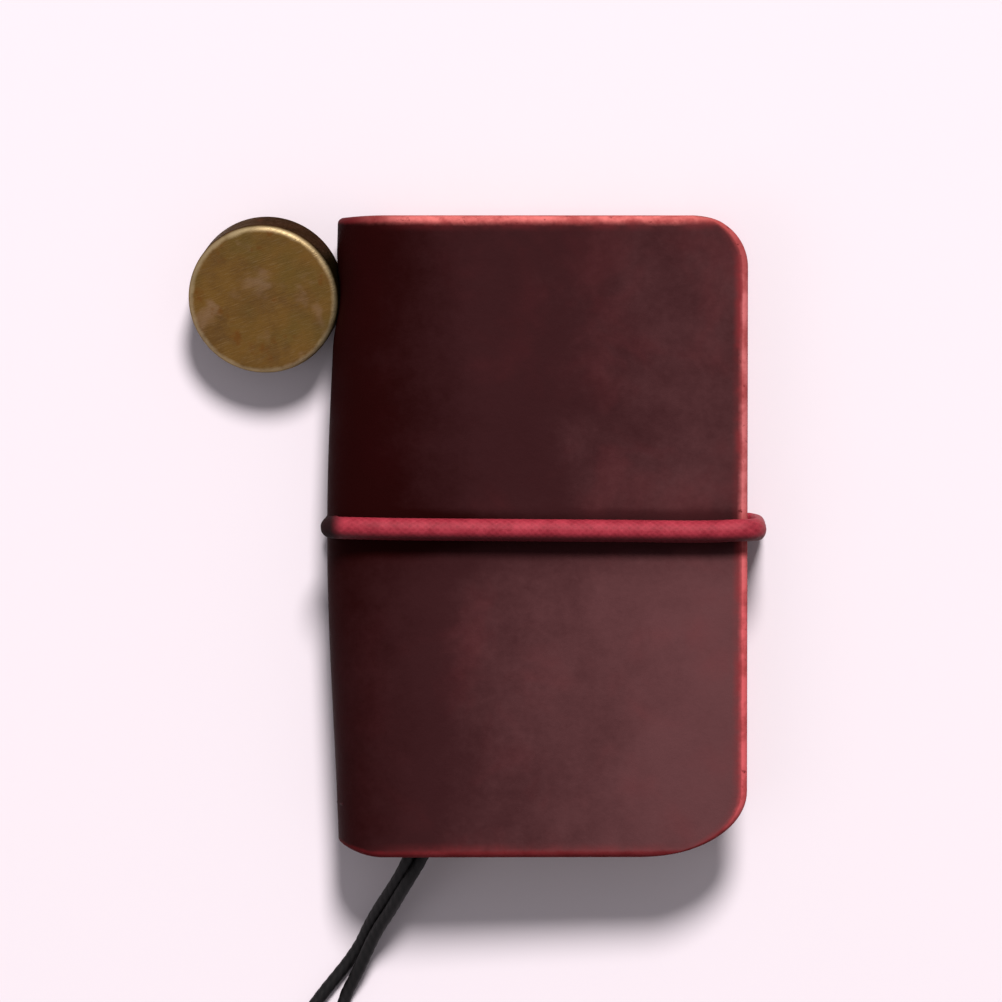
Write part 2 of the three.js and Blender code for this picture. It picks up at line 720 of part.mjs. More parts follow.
// The elastics
add('closure_elastic_front', bandFront(), elasticFinish());
add('closure_elastic_back', bandBack(), elasticFinish());
add('closure_knot', bandKnot(), elasticFinish());
add('binding_elastic', cordBody(bindingRoute(), 6, bindingRadius), elasticFinish());
add('binding_knot_tail', bindingKnot(3, -1), elasticFinish());
add('binding_knot_head', bindingKnot(1, 1), elasticFinish());

// The page marker
add('marker_strand_left', strand(-1), cordFinish());
add('marker_strand_right', strand(1), cordFinish());
add('marker_bight', cordBody(bightRoute(), 8, cordRadius), cordFinish());
add('brass_disc', disc(), brassFinish());
add('marker_tail_left', tail(leftTail), cordFinish());
add('marker_tail_right', tail(rightTail), cordFinish());
add('marker_knot_left', tailKnot(leftTail), cordFinish());
add('marker_knot_right', tailKnot(rightTail), cordFinish());

// Everything but the free cord ends, whose middle becomes the object's origin
const freeEnds = ['marker_tail_left', 'marker_tail_right', 'marker_knot_left', 'marker_knot_right'];
const box = new THREE.Box3();
for (const [name, mesh] of Object.entries(meshes)) {
  if (!freeEnds.includes(name)) box.union(new THREE.Box3().setFromObject(mesh));
}
const group = new THREE.Group();
group.add(...Object.values(meshes));
group.position.set(-(box.min.x + box.max.x) / 2, -(box.min.y + box.max.y) / 2, 0);
group.updateMatrixWorld(true);

export default group;
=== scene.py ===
import math

import bpy
import numpy as np
from mathutils import Matrix, Vector


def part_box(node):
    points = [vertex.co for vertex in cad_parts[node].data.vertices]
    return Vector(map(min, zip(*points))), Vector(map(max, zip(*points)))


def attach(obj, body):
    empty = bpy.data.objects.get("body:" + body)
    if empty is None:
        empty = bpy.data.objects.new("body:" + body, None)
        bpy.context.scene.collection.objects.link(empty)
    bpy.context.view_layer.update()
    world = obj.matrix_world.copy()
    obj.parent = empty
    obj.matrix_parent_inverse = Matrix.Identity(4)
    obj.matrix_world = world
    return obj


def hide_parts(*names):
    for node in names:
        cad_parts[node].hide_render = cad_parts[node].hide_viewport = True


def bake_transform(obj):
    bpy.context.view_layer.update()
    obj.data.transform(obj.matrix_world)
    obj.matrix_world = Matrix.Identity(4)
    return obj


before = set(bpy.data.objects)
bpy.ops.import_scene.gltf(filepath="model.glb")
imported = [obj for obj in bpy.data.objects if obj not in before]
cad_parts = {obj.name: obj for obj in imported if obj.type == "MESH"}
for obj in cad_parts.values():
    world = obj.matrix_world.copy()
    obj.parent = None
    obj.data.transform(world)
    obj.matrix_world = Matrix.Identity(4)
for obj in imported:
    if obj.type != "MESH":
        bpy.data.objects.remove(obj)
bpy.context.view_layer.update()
print("frame loaded")

# All shapes are worked out in millimetres on the notebook itself: x from the spine's
# outer face to the fore edge, y from tail to head, z up from the table.
mm = 0.001

# The spine's middle bows out, its two ends curve in by the scoops, and the disc presses a dent
cover = {
    "height": 90.4, "width": 57.9, "leather": 1.8,
    "headCorner": 7.2, "tailCornerWide": 14.8, "tailCornerTall": 9.3,
    "spineDepth": 6.5, "dent": 0.6, "dentHalf": 7.0, "spineBow": 1.55, "headScoop": 0.3, "tailScoop": 1.5,
    "seamAngle": 50, "unevenness": 0.07, "bendHalf": 1.9, "bendAlong": (0.92, 0, 0.39),
}
booklet = {
    "height": 82, "fore": 54.9, "corner": 4, "thickness": 2.8, "waistThickness": 2.1,
    "foldReach": 1.35, "foldToSpine": 5.35, "card": 0.3, "paperGap": 0.1,
    "stackGap": 0.3, "waistGap": 0.15, "leafStart": 1.6,
    "leaf": 0.055, "leafReach": 0.55, "leafShift": (-0.22, 0.05), "ripple": 0.012,
}
# The elastic is round over the front cover, flat under the back cover and oval at its turn
band = {
    "radius": 1.55, "y": 1.1, "lean": 0.28, "clearance": 0.15, "flatHalfHeight": 0.93, "flatHalfWidth": 1.8,
    "holeAngle": 35, "waistReach": 24, "turnHalfDepth": 1.22, "turnHalfWidth": 1.62,
    "insideHole": 1.2, "outOfHole": 1.1, "shoulder": 16, "foreDrop": 0.22, "pitch": 1.1, "yarns": 10,
}
# gap is the marker's room between the booklets; discGap is negative where the disc presses in
marker = {
    "radius": 0.9, "gap": 2.1, "spacing": 2.1, "tetherY": 33.5, "tetherZ": 6.4,
    "discRadius": 10.68, "discThickness": 7.5, "discBevel": 0.95, "discTilt": 12.2, "discLean": 246,
    "discGap": -0.4, "discRise": 0.5, "knotHeight": 1.45, "knotPast": 0.85, "twistShare": 0.97,
}
# Threads, binding elastic and knots; linkSink is how deep a link lies in the spine's groove
inner = {
    "threadRadius": 0.25, "threadLength": 54, "stitch": 9, "stitchWidth": 0.8, "threadSink": 0.34,
    "bindingRadius": 0.35, "bindingHoleY": 38,
    "bindingInside": 3.4, "bindingEnd": 0.7, "bindingKnot": 0.9, "linkSink": 0.36, "bandKnot": 1.8,
}
knotSizes = {"tail": (1.02, 0.7), "lace": (0.55, 0.34), "band": (1.22, 0.92)}  # path's size, cord's radius
slopeStart = 15
slopeDrop = marker["gap"] - booklet["stackGap"]
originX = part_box("front_cover")[1].x / mm - cover["width"]

leftTail = [
    (10.15, -45.3, 9.05), (9.57, -46.8, 8.8), (8.47, -48.9, 7.9), (7.0, -51.3, 6.4),
    (5.4, -53.9, 4.5), (4.0, -56.5, 2.7), (2.8, -59.0, 1.4), (1.3, -61.3, 0.95),
    (-0.5, -63.6, 0.9), (-2.2, -65.7, 0.9), (-4.1, -68.3, 0.9), (-5.6, -71.2, 0.9),
    (-6.6, -74.4, 0.9), (-7.0, -77.6, 0.9),
]
rightTail = [
    (12.1, -45.3, 9.05), (11.3, -46.8, 9.1), (10.02, -48.9, 9.0), (8.6, -51.3, 7.9),
    (7.1, -53.9, 6.2), (5.6, -56.3, 4.6), (4.5, -58.4, 3.5), (3.5, -60.6, 2.9),
    (2.6, -62.6, 2.2), (1.7, -64.4, 1.4), (0.9, -66.0, 0.95), (0.2, -68.2, 0.9),
    (-0.2, -71.0, 0.9), (-0.1, -74.2, 0.9), (0.6, -77.4, 0.9), (1.8, -80.2, 0.9),
]


# Row frame in metres from the notebook's own millimetres
def toRow(points):
    moved = np.array(points, float)
    moved[..., 0] += originX
    return moved * mm


def smoothstep(value, low, high):
    t = np.clip((value - low) / (high - low), 0, 1)
    return t * t * (3 - 2 * t)


def mix(a, b, share):
    return a + (b - a) * share


def angles(first, last, count):
    return np.radians(np.linspace(first, last, count))


# How far along a path each of its points lies
def distances(path):
    return np.concatenate([[0], np.cumsum(np.linalg.norm(np.diff(path, axis=0), axis=1))])


# Centripetal Catmull-Rom curve through the points, then points at equal steps along it
def smoothPath(points, count):
    p = np.array(points, float)
    p = np.vstack([2 * p[0] - p[1], p, 2 * p[-1] - p[-2]])
    knots = np.concatenate([[0], np.cumsum(np.sqrt(np.linalg.norm(np.diff(p, axis=0), axis=1)))])
    runs = []
    for i in range(1, len(p) - 2):
        t = np.linspace(knots[i], knots[i + 1], 24, endpoint=False)[:, None]
        t0, t1, t2, t3 = knots[i - 1:i + 3]

        def between(first, second, low, high, t=t):
            return (high - t) / (high - low) * first + (t - low) / (high - low) * second

        a1, a2, a3 = (between(p[i + k - 2], p[i + k - 1], *knots[i + k - 2:i + k]) for k in (1, 2, 3))
        b1, b2 = between(a1, a2, t0, t2), between(a2, a3, t1, t3)
        runs.append(between(b1, b2, t1, t2))
    fine = np.vstack(runs + [p[-2:-1]])
    far = distances(fine)
    even = np.linspace(0, far[-1], count)
    return np.stack([np.interp(even, far, fine[:, k]) for k in range(3)], axis=1)


# The camera

view = {"lens": 235, "distance": 0.925, "leanY": 3.0, "leanX": 1.2, "middle": (23.1, 4.9, 9.0)}


def setCamera():
    data = bpy.data.cameras.new("photoCamera")
    data.lens = view["lens"]
    data.sensor_width = 36
    data.clip_end = 10
    eye = bpy.data.objects.new("photoCamera", data)
    bpy.context.scene.collection.objects.link(eye)
    target = Vector(toRow(view["middle"]))
    lean = Vector((
        math.tan(math.radians(view["leanX"])), math.tan(math.radians(view["leanY"])), 1,
    )).normalized()
    eye.location = target + lean * view["distance"]
    right = Vector((0, 1, 0)).cross(lean).normalized()
    up = lean.cross(right)
    matrix = [[right[i], up[i], lean[i]] for i in range(3)]
    eye.rotation_euler = Matrix(matrix).to_euler()
    bpy.context.scene.camera = eye


setCamera()
print("camera set")


# Shader maths: a Wire is one output socket, and + - * on wires add Math nodes

class Wire:
    def __init__(self, tree, socket=None):
        self.tree = tree
        self.socket = socket

    def node(self, kind, settings=None, inputs=None, output=0):
        made = self.tree.nodes.new(kind)
        for name, value in (settings or {}).items():
            setattr(made, name, value)
        for name, value in (inputs or {}).items():
            if isinstance(value, Wire):
                self.tree.links.new(value.socket, made.inputs[name])
            else:
                made.inputs[name].default_value = value
        return Wire(self.tree, made.outputs[output] if len(made.outputs) else None)

    # Another output of the node that this wire comes from
    def output(self, name):
        return Wire(self.tree, self.socket.node.outputs[name])

    def maths(self, operation, first, second):
        return self.node("ShaderNodeMath", {"operation": operation}, {0: first, 1: second})

    def __add__(self, other):
        return self.maths("ADD", self, other)

    __radd__ = __add__

    def __sub__(self, other):
        return self.maths("SUBTRACT", self, other)

    def __rsub__(self, other):
        return self.maths("SUBTRACT", other, self)

    def __mul__(self, other):
        return self.maths("MULTIPLY", self, other)

    __rmul__ = __mul__


def linear(r, g, b):
    return tuple(((c / 255 + 0.055) / 1.055) ** 2.4 if c > 10 else c / 255 / 12.92 for c in (r, g, b))


def palette(**colors):
    return {name: linear(*color) for name, color in colors.items()}


def rgba(color):
    return (*color, 1)


# 0 below low, 1 above high, eased between
def ease(value, low, high):
    return value.node("ShaderNodeMapRange", {"interpolation_type": "SMOOTHSTEP", "clamp": True},
                      {"Value": value, "From Min": low, "From Max": high})


def blendColor(share, first, second):
    color = [rgba(c) if isinstance(c, tuple) and len(c) == 3 else c for c in (first, second)]
    return share.node("ShaderNodeMix", {"data_type": "RGBA"}, {0: share, 6: color[0], 7: color[1]}, output=2)


def noise(place, scale, detail=2.0, roughness=0.5, distortion=0.0):
    return place.node("ShaderNodeTexNoise", {}, {
        "Vector": place, "Scale": scale, "Detail": detail, "Roughness": roughness, "Distortion": distortion,
    })


def stretched(place, x, y, z):
    return place.node("ShaderNodeMapping", {}, {"Vector": place, "Scale": (x, y, z)})


def bump(height, strength, distance, under=None):
    inputs = {"Height": height, "Strength": strength, "Distance": distance}
    if under is not None:
        inputs["Normal"] = under
    return height.node("ShaderNodeBump", {}, inputs)


def newMaterial(name, build):
    material = bpy.data.materials.new(name)
    material.use_nodes = True
    tree = material.node_tree
    tree.nodes.clear()
    start = Wire(tree)
    inputs = build(start)
    surface = start.node("ShaderNodeBsdfPrincipled", {}, inputs)
    start.node("ShaderNodeOutputMaterial", {}, {"Surface": surface})
    return material


def attribute(start, name, output):
    return start.node("ShaderNodeAttribute", {"attribute_name": name}, output=output)


# Leather: near black at the spine, dark wine beyond it and a dusty plum towards the fore
# edge, mixed by a slow ramp over x plus wide, patchy and fine noise, and lifted towards the
# tail as painted light. A stripe along the elastic is darkened as painted shadow. The raw rim
# is pink-red at the head and fore edge; at the tail and towards the spine it is dark red as
# painted shade. A ragged worn band lies inside it. A dark ring round each hole is painted
# shade, and the inner face is brown flesh, mottled by the fine grain.
leatherLook = {
    **palette(
        black=(30, 5, 5), wine=(52, 25, 27), plum=(93, 57, 59), rim=(198, 106, 107), rimLow=(202, 90, 94),
        rimMuted=(142, 54, 54), rimHead=(206, 108, 104), rimDark=(86, 22, 26), redDeep=(40, 6, 8),
        redPale=(108, 46, 50), worn=(132, 44, 48), flesh=(126, 80, 66), fleshDark=(96, 56, 46),
    ),
    "mottle": 0.05, "patch": 0.17, "speck": 0.9, "grain": 2.2,
    "holeShadeFade": 0.9,  # how far the painted shade round a hole fades out
    "holes": [
        ((0.95, 1.5, 11.9), 1.5), ((0.95, 1.5, 2.9), 1.5),
        ((-0.5, 34.5, 6.4), 0.9), ((-0.5, 32.5, 6.4), 0.9),
    ],
}


def leatherNodes(start):
    look = leatherLook
    place = attribute(start, "restPlace", 1)
    rim = attribute(start, "rimDistance", 2)
    inside = attribute(start, "inside", 2)
    x = start.node("ShaderNodeSeparateXYZ", {}, {0: place})
    y = x.output("Y")
    wide = noise(place, look["mottle"], 4, 0.55, 0.5) - 0.5
    patch = noise(place, look["patch"], 4, 0.6) - 0.5
    speck = noise(place, look["speck"], 4, 0.7) - 0.5
    grain = noise(place, look["grain"], 5, 0.72)
    # The tone is lifted towards the tail as painted light.
    tail = 1 - ease(y, -8.0, 4.0)
    # A stripe along the elastic is darkened as painted shadow.
    bandShadow = ease(y, -3.6, -0.6) * (1 - ease(y, 2.6, 4.6))
    tone = 0.5 * ease(x, 0.0, 24.0) + 0.32 * ease(x, 14.0, 58.0) + 0.24 * tail
    tone = tone + 0.34 * wide + 0.24 * patch + 0.16 * speck - 0.3 * bandShadow - 0.06
    ground = blendColor(ease(tone, 0.0, 0.52), look["black"], look["wine"])
    ground = blendColor(ease(tone, 0.5, 1.1), ground, look["plum"])
    redness = ease(noise(place, 0.09, 3, 0.6, 0.3), 0.46, 0.7) * 0.16
    redGround = blendColor(ease(tone, 0.1, 0.9), look["redDeep"], look["redPale"])
    ground = blendColor(redness, ground, redGround)
    ragged = rim + 0.9 * patch + 0.5 * speck
    # The rim's pink-red is taken away at the tail and towards the spine as painted shade, leaving its dark
    # red.
    rimLight = ease(x, 1.0, 13.0) * (0.14 + 0.86 * ease(y, -44.0, -36.0))
    headCorner = ease(x, 49.0, 54.0) * ease(y, 35.0, 39.5)
    bright = (1 - ease(ragged, -0.6, 0.55)) * rimLight * ease(speck, -0.24, -0.08)
    worn = (1 - ease(ragged, 0.1, 1.5)) * (0.18 + 0.6 * ease(patch, -0.12, 0.12)) * ease(x, 2.0, 16.0)
    worn = worn * (1 - 0.6 * ease(y, 37.0, 42.5))
    color = blendColor(worn * (0.3 + 0.7 * rimLight), ground, look["worn"])
    rimColor = blendColor(ease(y, -12.0, 8.0), look["rimLow"], look["rim"])
    muted = ease(noise(place, 0.22, 4, 0.65), 0.4, 0.66) * 0.75
    rimColor = blendColor(ease(y, 41.0, 44.0), rimColor, look["rimHead"])
    rimColor = blendColor(muted, rimColor, look["rimMuted"])
    rimColor = blendColor(headCorner * 0.7, rimColor, look["rimMuted"])
    color = blendColor(1 - ease(ragged, -0.3, 0.3), color, look["rimDark"])
    color = blendColor(bright, color, rimColor)
    # A dark ring round each hole is painted shade.
    for centre, reach in look["holes"]:
        away = place.node("ShaderNodeVectorMath", {"operation": "DISTANCE"}, {0: place, 1: centre},
                          output="Value")
        holeShade = 1 - ease(away, reach, reach + look["holeShadeFade"])
        color = blendColor(0.85 * holeShade, color, look["black"])
    fleshTone = blendColor(ease(grain, 0.35, 0.7), look["fleshDark"], look["flesh"])
    color = blendColor(inside, color, fleshTone)
    rough = 0.56 + 0.3 * patch + 0.12 * speck + 0.22 * inside + 0.12 * bright
    relief = bump(speck, 0.12, 0.0004)
    relief = bump(grain, 0.32, 0.0001, relief)
    return {
        "Base Color": color, "Roughness": rough, "Normal": relief, "Specular IOR Level": 0.02,
        "Specular Tint": (1.0, 0.45, 0.42, 1),
    }


# Each look's last share darkens the lower flank as painted shade; the last two colours are painted shade.
elasticLook = {
    "band": {**palette(dark=(104, 13, 28), light=(176, 58, 72)), "gloss": 0.14, "paintedShade": 0.84},
    "lace": {**palette(dark=(36, 7, 9), light=(64, 16, 20)), "gloss": 0.08, "paintedShade": 0.0},
    **palette(tip=(120, 62, 52), flank=(50, 6, 9), grime=(18, 4, 5)),
}


# Braided elastic: dark to light red yarn by slow patches, fine fuzz and the braid's diagonals,
# whose crests are lighter as painted light. Brown patches lie on its tip at the fore edge. Its
# lower flank, which follows the band's slant, is darkened as painted shade, and it goes near
# black as painted shade where it passes the spine.
def elasticNodes(start, look):
    ridgeShading = attribute(start, "braid", 2)
    place = attribute(start, "restPlace", 1)
    patch = noise(place, 0.35, 3, 0.6)
    fuzz = noise(place, 7.0, 3, 0.7)
    x = start.node("ShaderNodeSeparateXYZ", {}, {0: place})
    y = x.output("Y")
    # Near black where it passes the spine: painted shade.
    grime = 1 - ease(x, -0.9, 1.5)
    tip = ease(x, 58.4, 60.0) * ease(patch, 0.42, 0.6)
    # Darker along the lower flank: painted shade.
    shadedFlank = 1 - ease(y + 0.008 * x, 0.2, 1.2)
    # The braid's crests are lighter as painted light.
    color = blendColor(ease(ridgeShading * 0.16 + patch * 0.8 + fuzz * 0.5, 0.3, 1.2), look["dark"], look["light"])
    color = blendColor(tip * 0.5, color, elasticLook["tip"])
    color = blendColor(shadedFlank * look["paintedShade"], color, elasticLook["flank"])
    color = blendColor(grime * 0.98, color, elasticLook["grime"])
    return {
        "Base Color": color, "Roughness": 0.5 + 0.3 * (fuzz - 0.5) + 0.4 * grime,
        "Normal": bump(fuzz, 0.35, 0.0002), "Specular IOR Level": look["gloss"],
    }


# Dark and light colour of each plain material, and the two kinds of fleck in the card
plainLook = palette(
    cordDark=(3, 3, 3), cordLight=(15, 13, 13), kraftDark=(158, 124, 88), kraftLight=(182, 148, 108),
    paperDark=(228, 219, 197), paperLight=(240, 233, 213), threadDark=(150, 134, 104),
    threadLight=(222, 210, 182), darkFleck=(112, 80, 50), paleFleck=(208, 182, 144),
)


def plainColor(share, name):
    return blendColor(share, plainLook[name + "Dark"], plainLook[name + "Light"])


# Waxed cord: near black, a little lighter on the ridges of its twist as painted light, and by fine fuzz
def cordNodes(start):
    ridgeShading = attribute(start, "braid", 2)
    place = attribute(start, "restPlace", 1)
    fuzz = noise(place, 5.0, 3, 0.7)
    color = plainColor(ease(ridgeShading * 0.5 + fuzz * 0.5, 0.3, 0.9), "cord")
    return {"Base Color": color, "Roughness": 0.52 + 0.2 * (fuzz - 0.5),
            "Normal": bump(fuzz, 0.3, 0.0002), "Specular IOR Level": 0.15}


# Aged brass: metal to brown by patches, clouds and fine brush lines, then olive and mauve
# patches, pale hair lines, a side darkened as painted shade and reflection, rusty stains and a
# pale rim that is partly wear and partly painted highlight
brassLook = {
    **palette(metal=(103, 76, 35), worn=(168, 152, 118), brown=(86, 61, 33), dark=(40, 33, 15),
              olive=(88, 72, 34), mauve=(122, 96, 72), stain=(96, 58, 22)),
    "brushAngle": -20,
}


def brassNodes(start):
    look = brassLook
    place = attribute(start, "restPlace", 1)
    rim = attribute(start, "rimDistance", 2)
    side = attribute(start, "discSide", 2)
    brushTurn = (0, 0, math.radians(look["brushAngle"]))
    turned = start.node("ShaderNodeMapping", {}, {"Vector": place, "Rotation": brushTurn})
    brush = noise(stretched(turned, 0.25, 4.5, 1.0), 1.0, 4, 0.65)
    hair = noise(stretched(turned, 0.6, 14.0, 1.0), 1.0, 3, 0.6)
    patch = noise(place, 0.16, 4, 0.6, 0.6)
    cloud = noise(place, 0.42, 4, 0.65)
    tarnish = ease(patch * 0.6 + cloud * 0.4 + 0.16 * (brush - 0.5), 0.36, 0.72)
    color = blendColor(tarnish, look["metal"], look["brown"])
    color = blendColor(ease(noise(place, 0.13, 3, 0.5), 0.45, 0.66) * 0.6, color, look["olive"])
    color = blendColor(ease(noise(place, 0.15, 3, 0.6, 0.4), 0.52, 0.68) * 0.6, color, look["mauve"])
    stain = ease(noise(stretched(place, 0.34, 0.26, 0.3), 1.0, 3, 0.6), 0.6, 0.74)
    color = blendColor(ease(hair, 0.5, 0.78) * 0.18, color, look["worn"])
    # The side is darkened as painted shade and reflection.
    color = blendColor(side * (0.9 + 0.5 * (cloud - 0.5)), color, look["dark"])
    color = blendColor(stain * 0.7, color, look["stain"])
    # The pale rim is partly wear and partly painted highlight.
    edge = (1 - ease(rim + 0.7 * (cloud - 0.5), 0.15, 0.75)) * (1 - 0.7 * side)
    color = blendColor(edge * 0.6, color, look["worn"])
    rough = 0.46 + 0.35 * (brush - 0.5) + 0.18 * tarnish + 0.04 * edge - 0.1 * side
    relief = bump(hair, 0.25, 0.00012)
    relief = bump(brush, 0.25, 0.0002, relief)
    return {"Base Color": color, "Metallic": 0.94 - 0.3 * tarnish * (1 - side), "Roughness": rough,
            "Normal": relief, "Specular IOR Level": 0.2, "Specular Tint": (0.42, 0.32, 0.2, 1)}


# Kraft card: brown pulp, a soft cloud, short weak fibres and small dark and pale flecks
def kraftNodes(start):
    place = attribute(start, "restPlace", 1)
    fibre = noise(stretched(place, 2.6, 1.3, 2.0), 1.0, 4, 0.75)
    fleck = noise(stretched(place, 1.6, 3.4, 1.0), 1.0, 2, 0.5)
    cloud = noise(place, 0.1, 3, 0.5)
    color = plainColor(ease(fibre * 0.5 + cloud * 0.5, 0.3, 0.75), "kraft")
    color = blendColor(ease(fleck, 0.68, 0.78) * 0.5, color, plainLook["darkFleck"])
    color = blendColor((1 - ease(fleck, 0.24, 0.33)) * 0.4, color, plainLook["paleFleck"])
    return {"Base Color": color, "Roughness": 0.82 + 0.1 * (fibre - 0.5),
            "Normal": bump(fibre, 0.3, 0.0001), "Specular IOR Level": 0.25}


# Uncoated paper: warm white with faint cloud and fibre
def paperNodes(start):
    place = attribute(start, "restPlace", 1)
    fibre = noise(place, 2.4, 4, 0.7)
    cloud = noise(place, 0.09, 3, 0.5)
    color = plainColor(ease(fibre * 0.4 + cloud * 0.7, 0.3, 0.85), "paper")
    return {"Base Color": color, "Roughness": 0.88 + 0.08 * (fibre - 0.5),
            "Normal": bump(fibre, 0.15, 0.00006), "Specular IOR Level": 0.2}


# Linen thread: pale yarn, darker in the turns of its twist as painted shade
def threadNodes(start):
    ridgeShading = attribute(start, "braid", 2)
    place = attribute(start, "restPlace", 1)
    fuzz = noise(place, 8.0, 3, 0.7)
    color = plainColor(ease(ridgeShading * 0.6 + fuzz * 0.4, 0.2, 0.9), "thread")
    return {"Base Color": color, "Roughness": 0.8 + 0.1 * (fuzz - 0.5), "Normal": bump(fuzz, 0.3, 0.0001)}


leatherMaterial = newMaterial("pullUpLeather", leatherNodes)
elasticMaterial = newMaterial("redBraidedElastic", lambda start: elasticNodes(start, elasticLook["band"]))
laceMaterial = newMaterial("darkLaceElastic", lambda start: elasticNodes(start, elasticLook["lace"]))
cordMaterial = newMaterial("blackWaxedCord", cordNodes)
brassMaterial = newMaterial("agedBrass", brassNodes)
kraftMaterial = newMaterial("kraftCard", kraftNodes)
paperMaterial = newMaterial("creamPaper", paperNodes)
threadMaterial = newMaterial("linenThread", threadNodes)
print("materials made")


# Mesh building

sharpAngle = math.radians(50)


# points is any array of places in millimetres; quads index it flattened
def newPiece(name, points, quads, material, values=None, smooth=True):
    flat = points.reshape(-1, 3)
    mesh = bpy.data.meshes.new(name)
    mesh.from_pydata(toRow(flat).tolist(), [], quads.tolist())
    place = mesh.attributes.new("restPlace", "FLOAT_VECTOR", "POINT")
    place.data.foreach_set("vector", flat.astype(np.float32).ravel())
    for key, value in (values or {}).items():
        made = mesh.attributes.new(key, "FLOAT", "POINT")
        made.data.foreach_set("value", np.broadcast_to(value, points.shape[:-1]).astype(np.float32).ravel())
    mesh.polygons.foreach_set("use_smooth", [smooth] * len(mesh.polygons))
    mesh.materials.append(material)
    mesh.validate()
    if smooth:
        mesh.set_sharp_from_angle(angle=sharpAngle)
    piece = bpy.data.objects.new(name, mesh)
    bpy.context.scene.collection.objects.link(piece)
    return piece


# Quads between neighbours of a grid of rows x columns, closed round the columns
def ringQuads(rows, columns):
    i, j = np.meshgrid(np.arange(rows - 1), np.arange(columns), indexing="ij")
    k = (j + 1) % columns
    near, far = i * columns, (i + 1) * columns
    return np.stack([near + j, near + k, far + k, far + j], axis=-1).reshape(-1, 4)


# A body through a row of flat outlines; each end is closed from one half of it to the other
def loftQuads(rows, columns):
    j = np.arange(columns // 2 - 1)
    first = np.stack([j, columns - 1 - j, columns - 2 - j, j + 1], axis=-1)
    last = np.stack([j, j + 1, columns - 2 - j, columns - 1 - j], axis=-1) + (rows - 1) * columns
    return np.vstack([ringQuads(rows, columns), first, last])


# A body through a row of round outlines, each end closed by strips across it
def tubeQuads(rows, columns):
    j = np.arange(1, columns // 2)
    first = np.stack([j - 1, j, columns - 1 - j, (columns - j) % columns], axis=-1)
    return np.vstack([ringQuads(rows, columns), first, first[:, ::-1] + (rows - 1) * columns])


# Turns every face over where the body came out inside out, going by its signed volume
def facingOut(points, quads):
    p = points.reshape(-1, 3)
    a, b, c, d = (p[quads[:, k]] for k in range(4))
    volume = np.einsum("ij,ij->i", a, np.cross(b, c) + np.cross(c, d)).sum()
    return quads if volume > 0 else quads[:, ::-1]


# The notebook's own form: the formulas of its solids, with a deeper bow and the disc's dent

halfHeight = cover["height"] / 2
halfLeather = cover["leather"] / 2


def waist(y):
    reach = band["waistReach"]
    return np.where(np.abs(y) < reach, np.cos(np.pi * y / (2 * reach)) ** 2, 0)


# Heights of every layer's faces at the ends and under the elastic, which pinches them at its
# waist; 1 where the face also slopes down to the fore edge
def buildFaces():
    end, pinched, faces = 0.0, 2 * band["flatHalfHeight"] + booklet["waistGap"], {}
    leather, gap, tight = cover["leather"], booklet["stackGap"], booklet["waistGap"]
    thick, thin, cord = booklet["thickness"], booklet["waistThickness"], marker["gap"]
    steps = [
        ("backOuter", 0, 0, 0), ("backInner", leather, leather, 0),
        ("booklet3Bottom", gap, tight, 0), ("booklet3Top", thick, thin, 0),
        ("booklet2Bottom", gap, tight, 0), ("booklet2Top", thick, thin, 0),
        ("booklet1Bottom", cord, cord, 1), ("booklet1Top", thick, thin, 1),
        ("frontInner", gap, tight, 1), ("frontOuter", leather, leather, 1),
    ]
    for name, byEnd, byPinched, sloped in steps:
        end += byEnd
        pinched += byPinched
        faces[name] = (end, pinched, sloped)
    return faces


faces = buildFaces()


def drop(x):
    return slopeDrop * np.maximum(0, x - slopeStart) / (cover["width"] - slopeStart)


def height(name, x, y):
    end, pinched, sloped = faces[name]
    return mix(end, pinched, waist(y)) - sloped * drop(x)


def spineLeft(y):
    bow = cover["spineBow"] * np.maximum(np.cos(np.pi * y / (cover["height"] + 2)), 0) ** 1.6
    beside = np.clip((y - marker["tetherY"]) / cover["dentHalf"], -1, 1)
    return cover["dent"] * np.cos(beside * np.pi / 2) ** 2 - bow


def scoop(row):
    start = halfHeight - cover["headCorner"]
    near = np.maximum(0, (np.abs(row) - start) / (halfHeight - start))
    return near * np.where(row > 0, cover["headScoop"], -cover["tailScoop"])


# Outer face of the spine at an angle from back (-90) to front (90), moved inwards
def spinePoint(angle, row, inward):
    a = np.radians(angle)
    reach = cover["spineDepth"] - spineLeft(row)
    low, high = height("backOuter", 0, row), height("frontOuter", 0, row)
    half = (high - low) / 2
    nx, nz = np.cos(a) / reach, -np.sin(a) / half
    size = np.hypot(nx, nz)
    x = cover["spineDepth"] - reach * np.cos(a) + nx / size * inward
    y = row - scoop(row) * np.cos(a) ** 2
    z = low + half + half * np.sin(a) + nz / size * inward
    return np.stack(np.broadcast_arrays(x, y, z), axis=-1)


def foreEdge(y):
    low, high = -halfHeight + cover["tailCornerTall"], halfHeight - cover["headCorner"]
    head = np.sqrt(np.clip(1 - ((y - high) / cover["headCorner"]) ** 2, 0, 1))
    tail = np.sqrt(np.clip(1 - ((low - y) / cover["tailCornerTall"]) ** 2, 0, 1))
    inset = np.where(y > high, cover["headCorner"] * (1 - head), 0)
    return cover["width"] - np.where(y < low, cover["tailCornerWide"] * (1 - tail), inset)


# Slow unevenness of the hide: a few seeded waves over x and y, each with its pace, direction
# and phase
draw = np.random.default_rng(11).uniform
waves = [(draw(0.05, 0.22), draw(0, np.pi), draw(0, 2 * np.pi)) for _ in range(9)]


def uneven(x, y):
    total = sum(np.sin(f * (x * np.cos(a) + y * np.sin(a)) + p) for f, a, p in waves)
    return cover["unevenness"] * total / math.sqrt(len(waves))


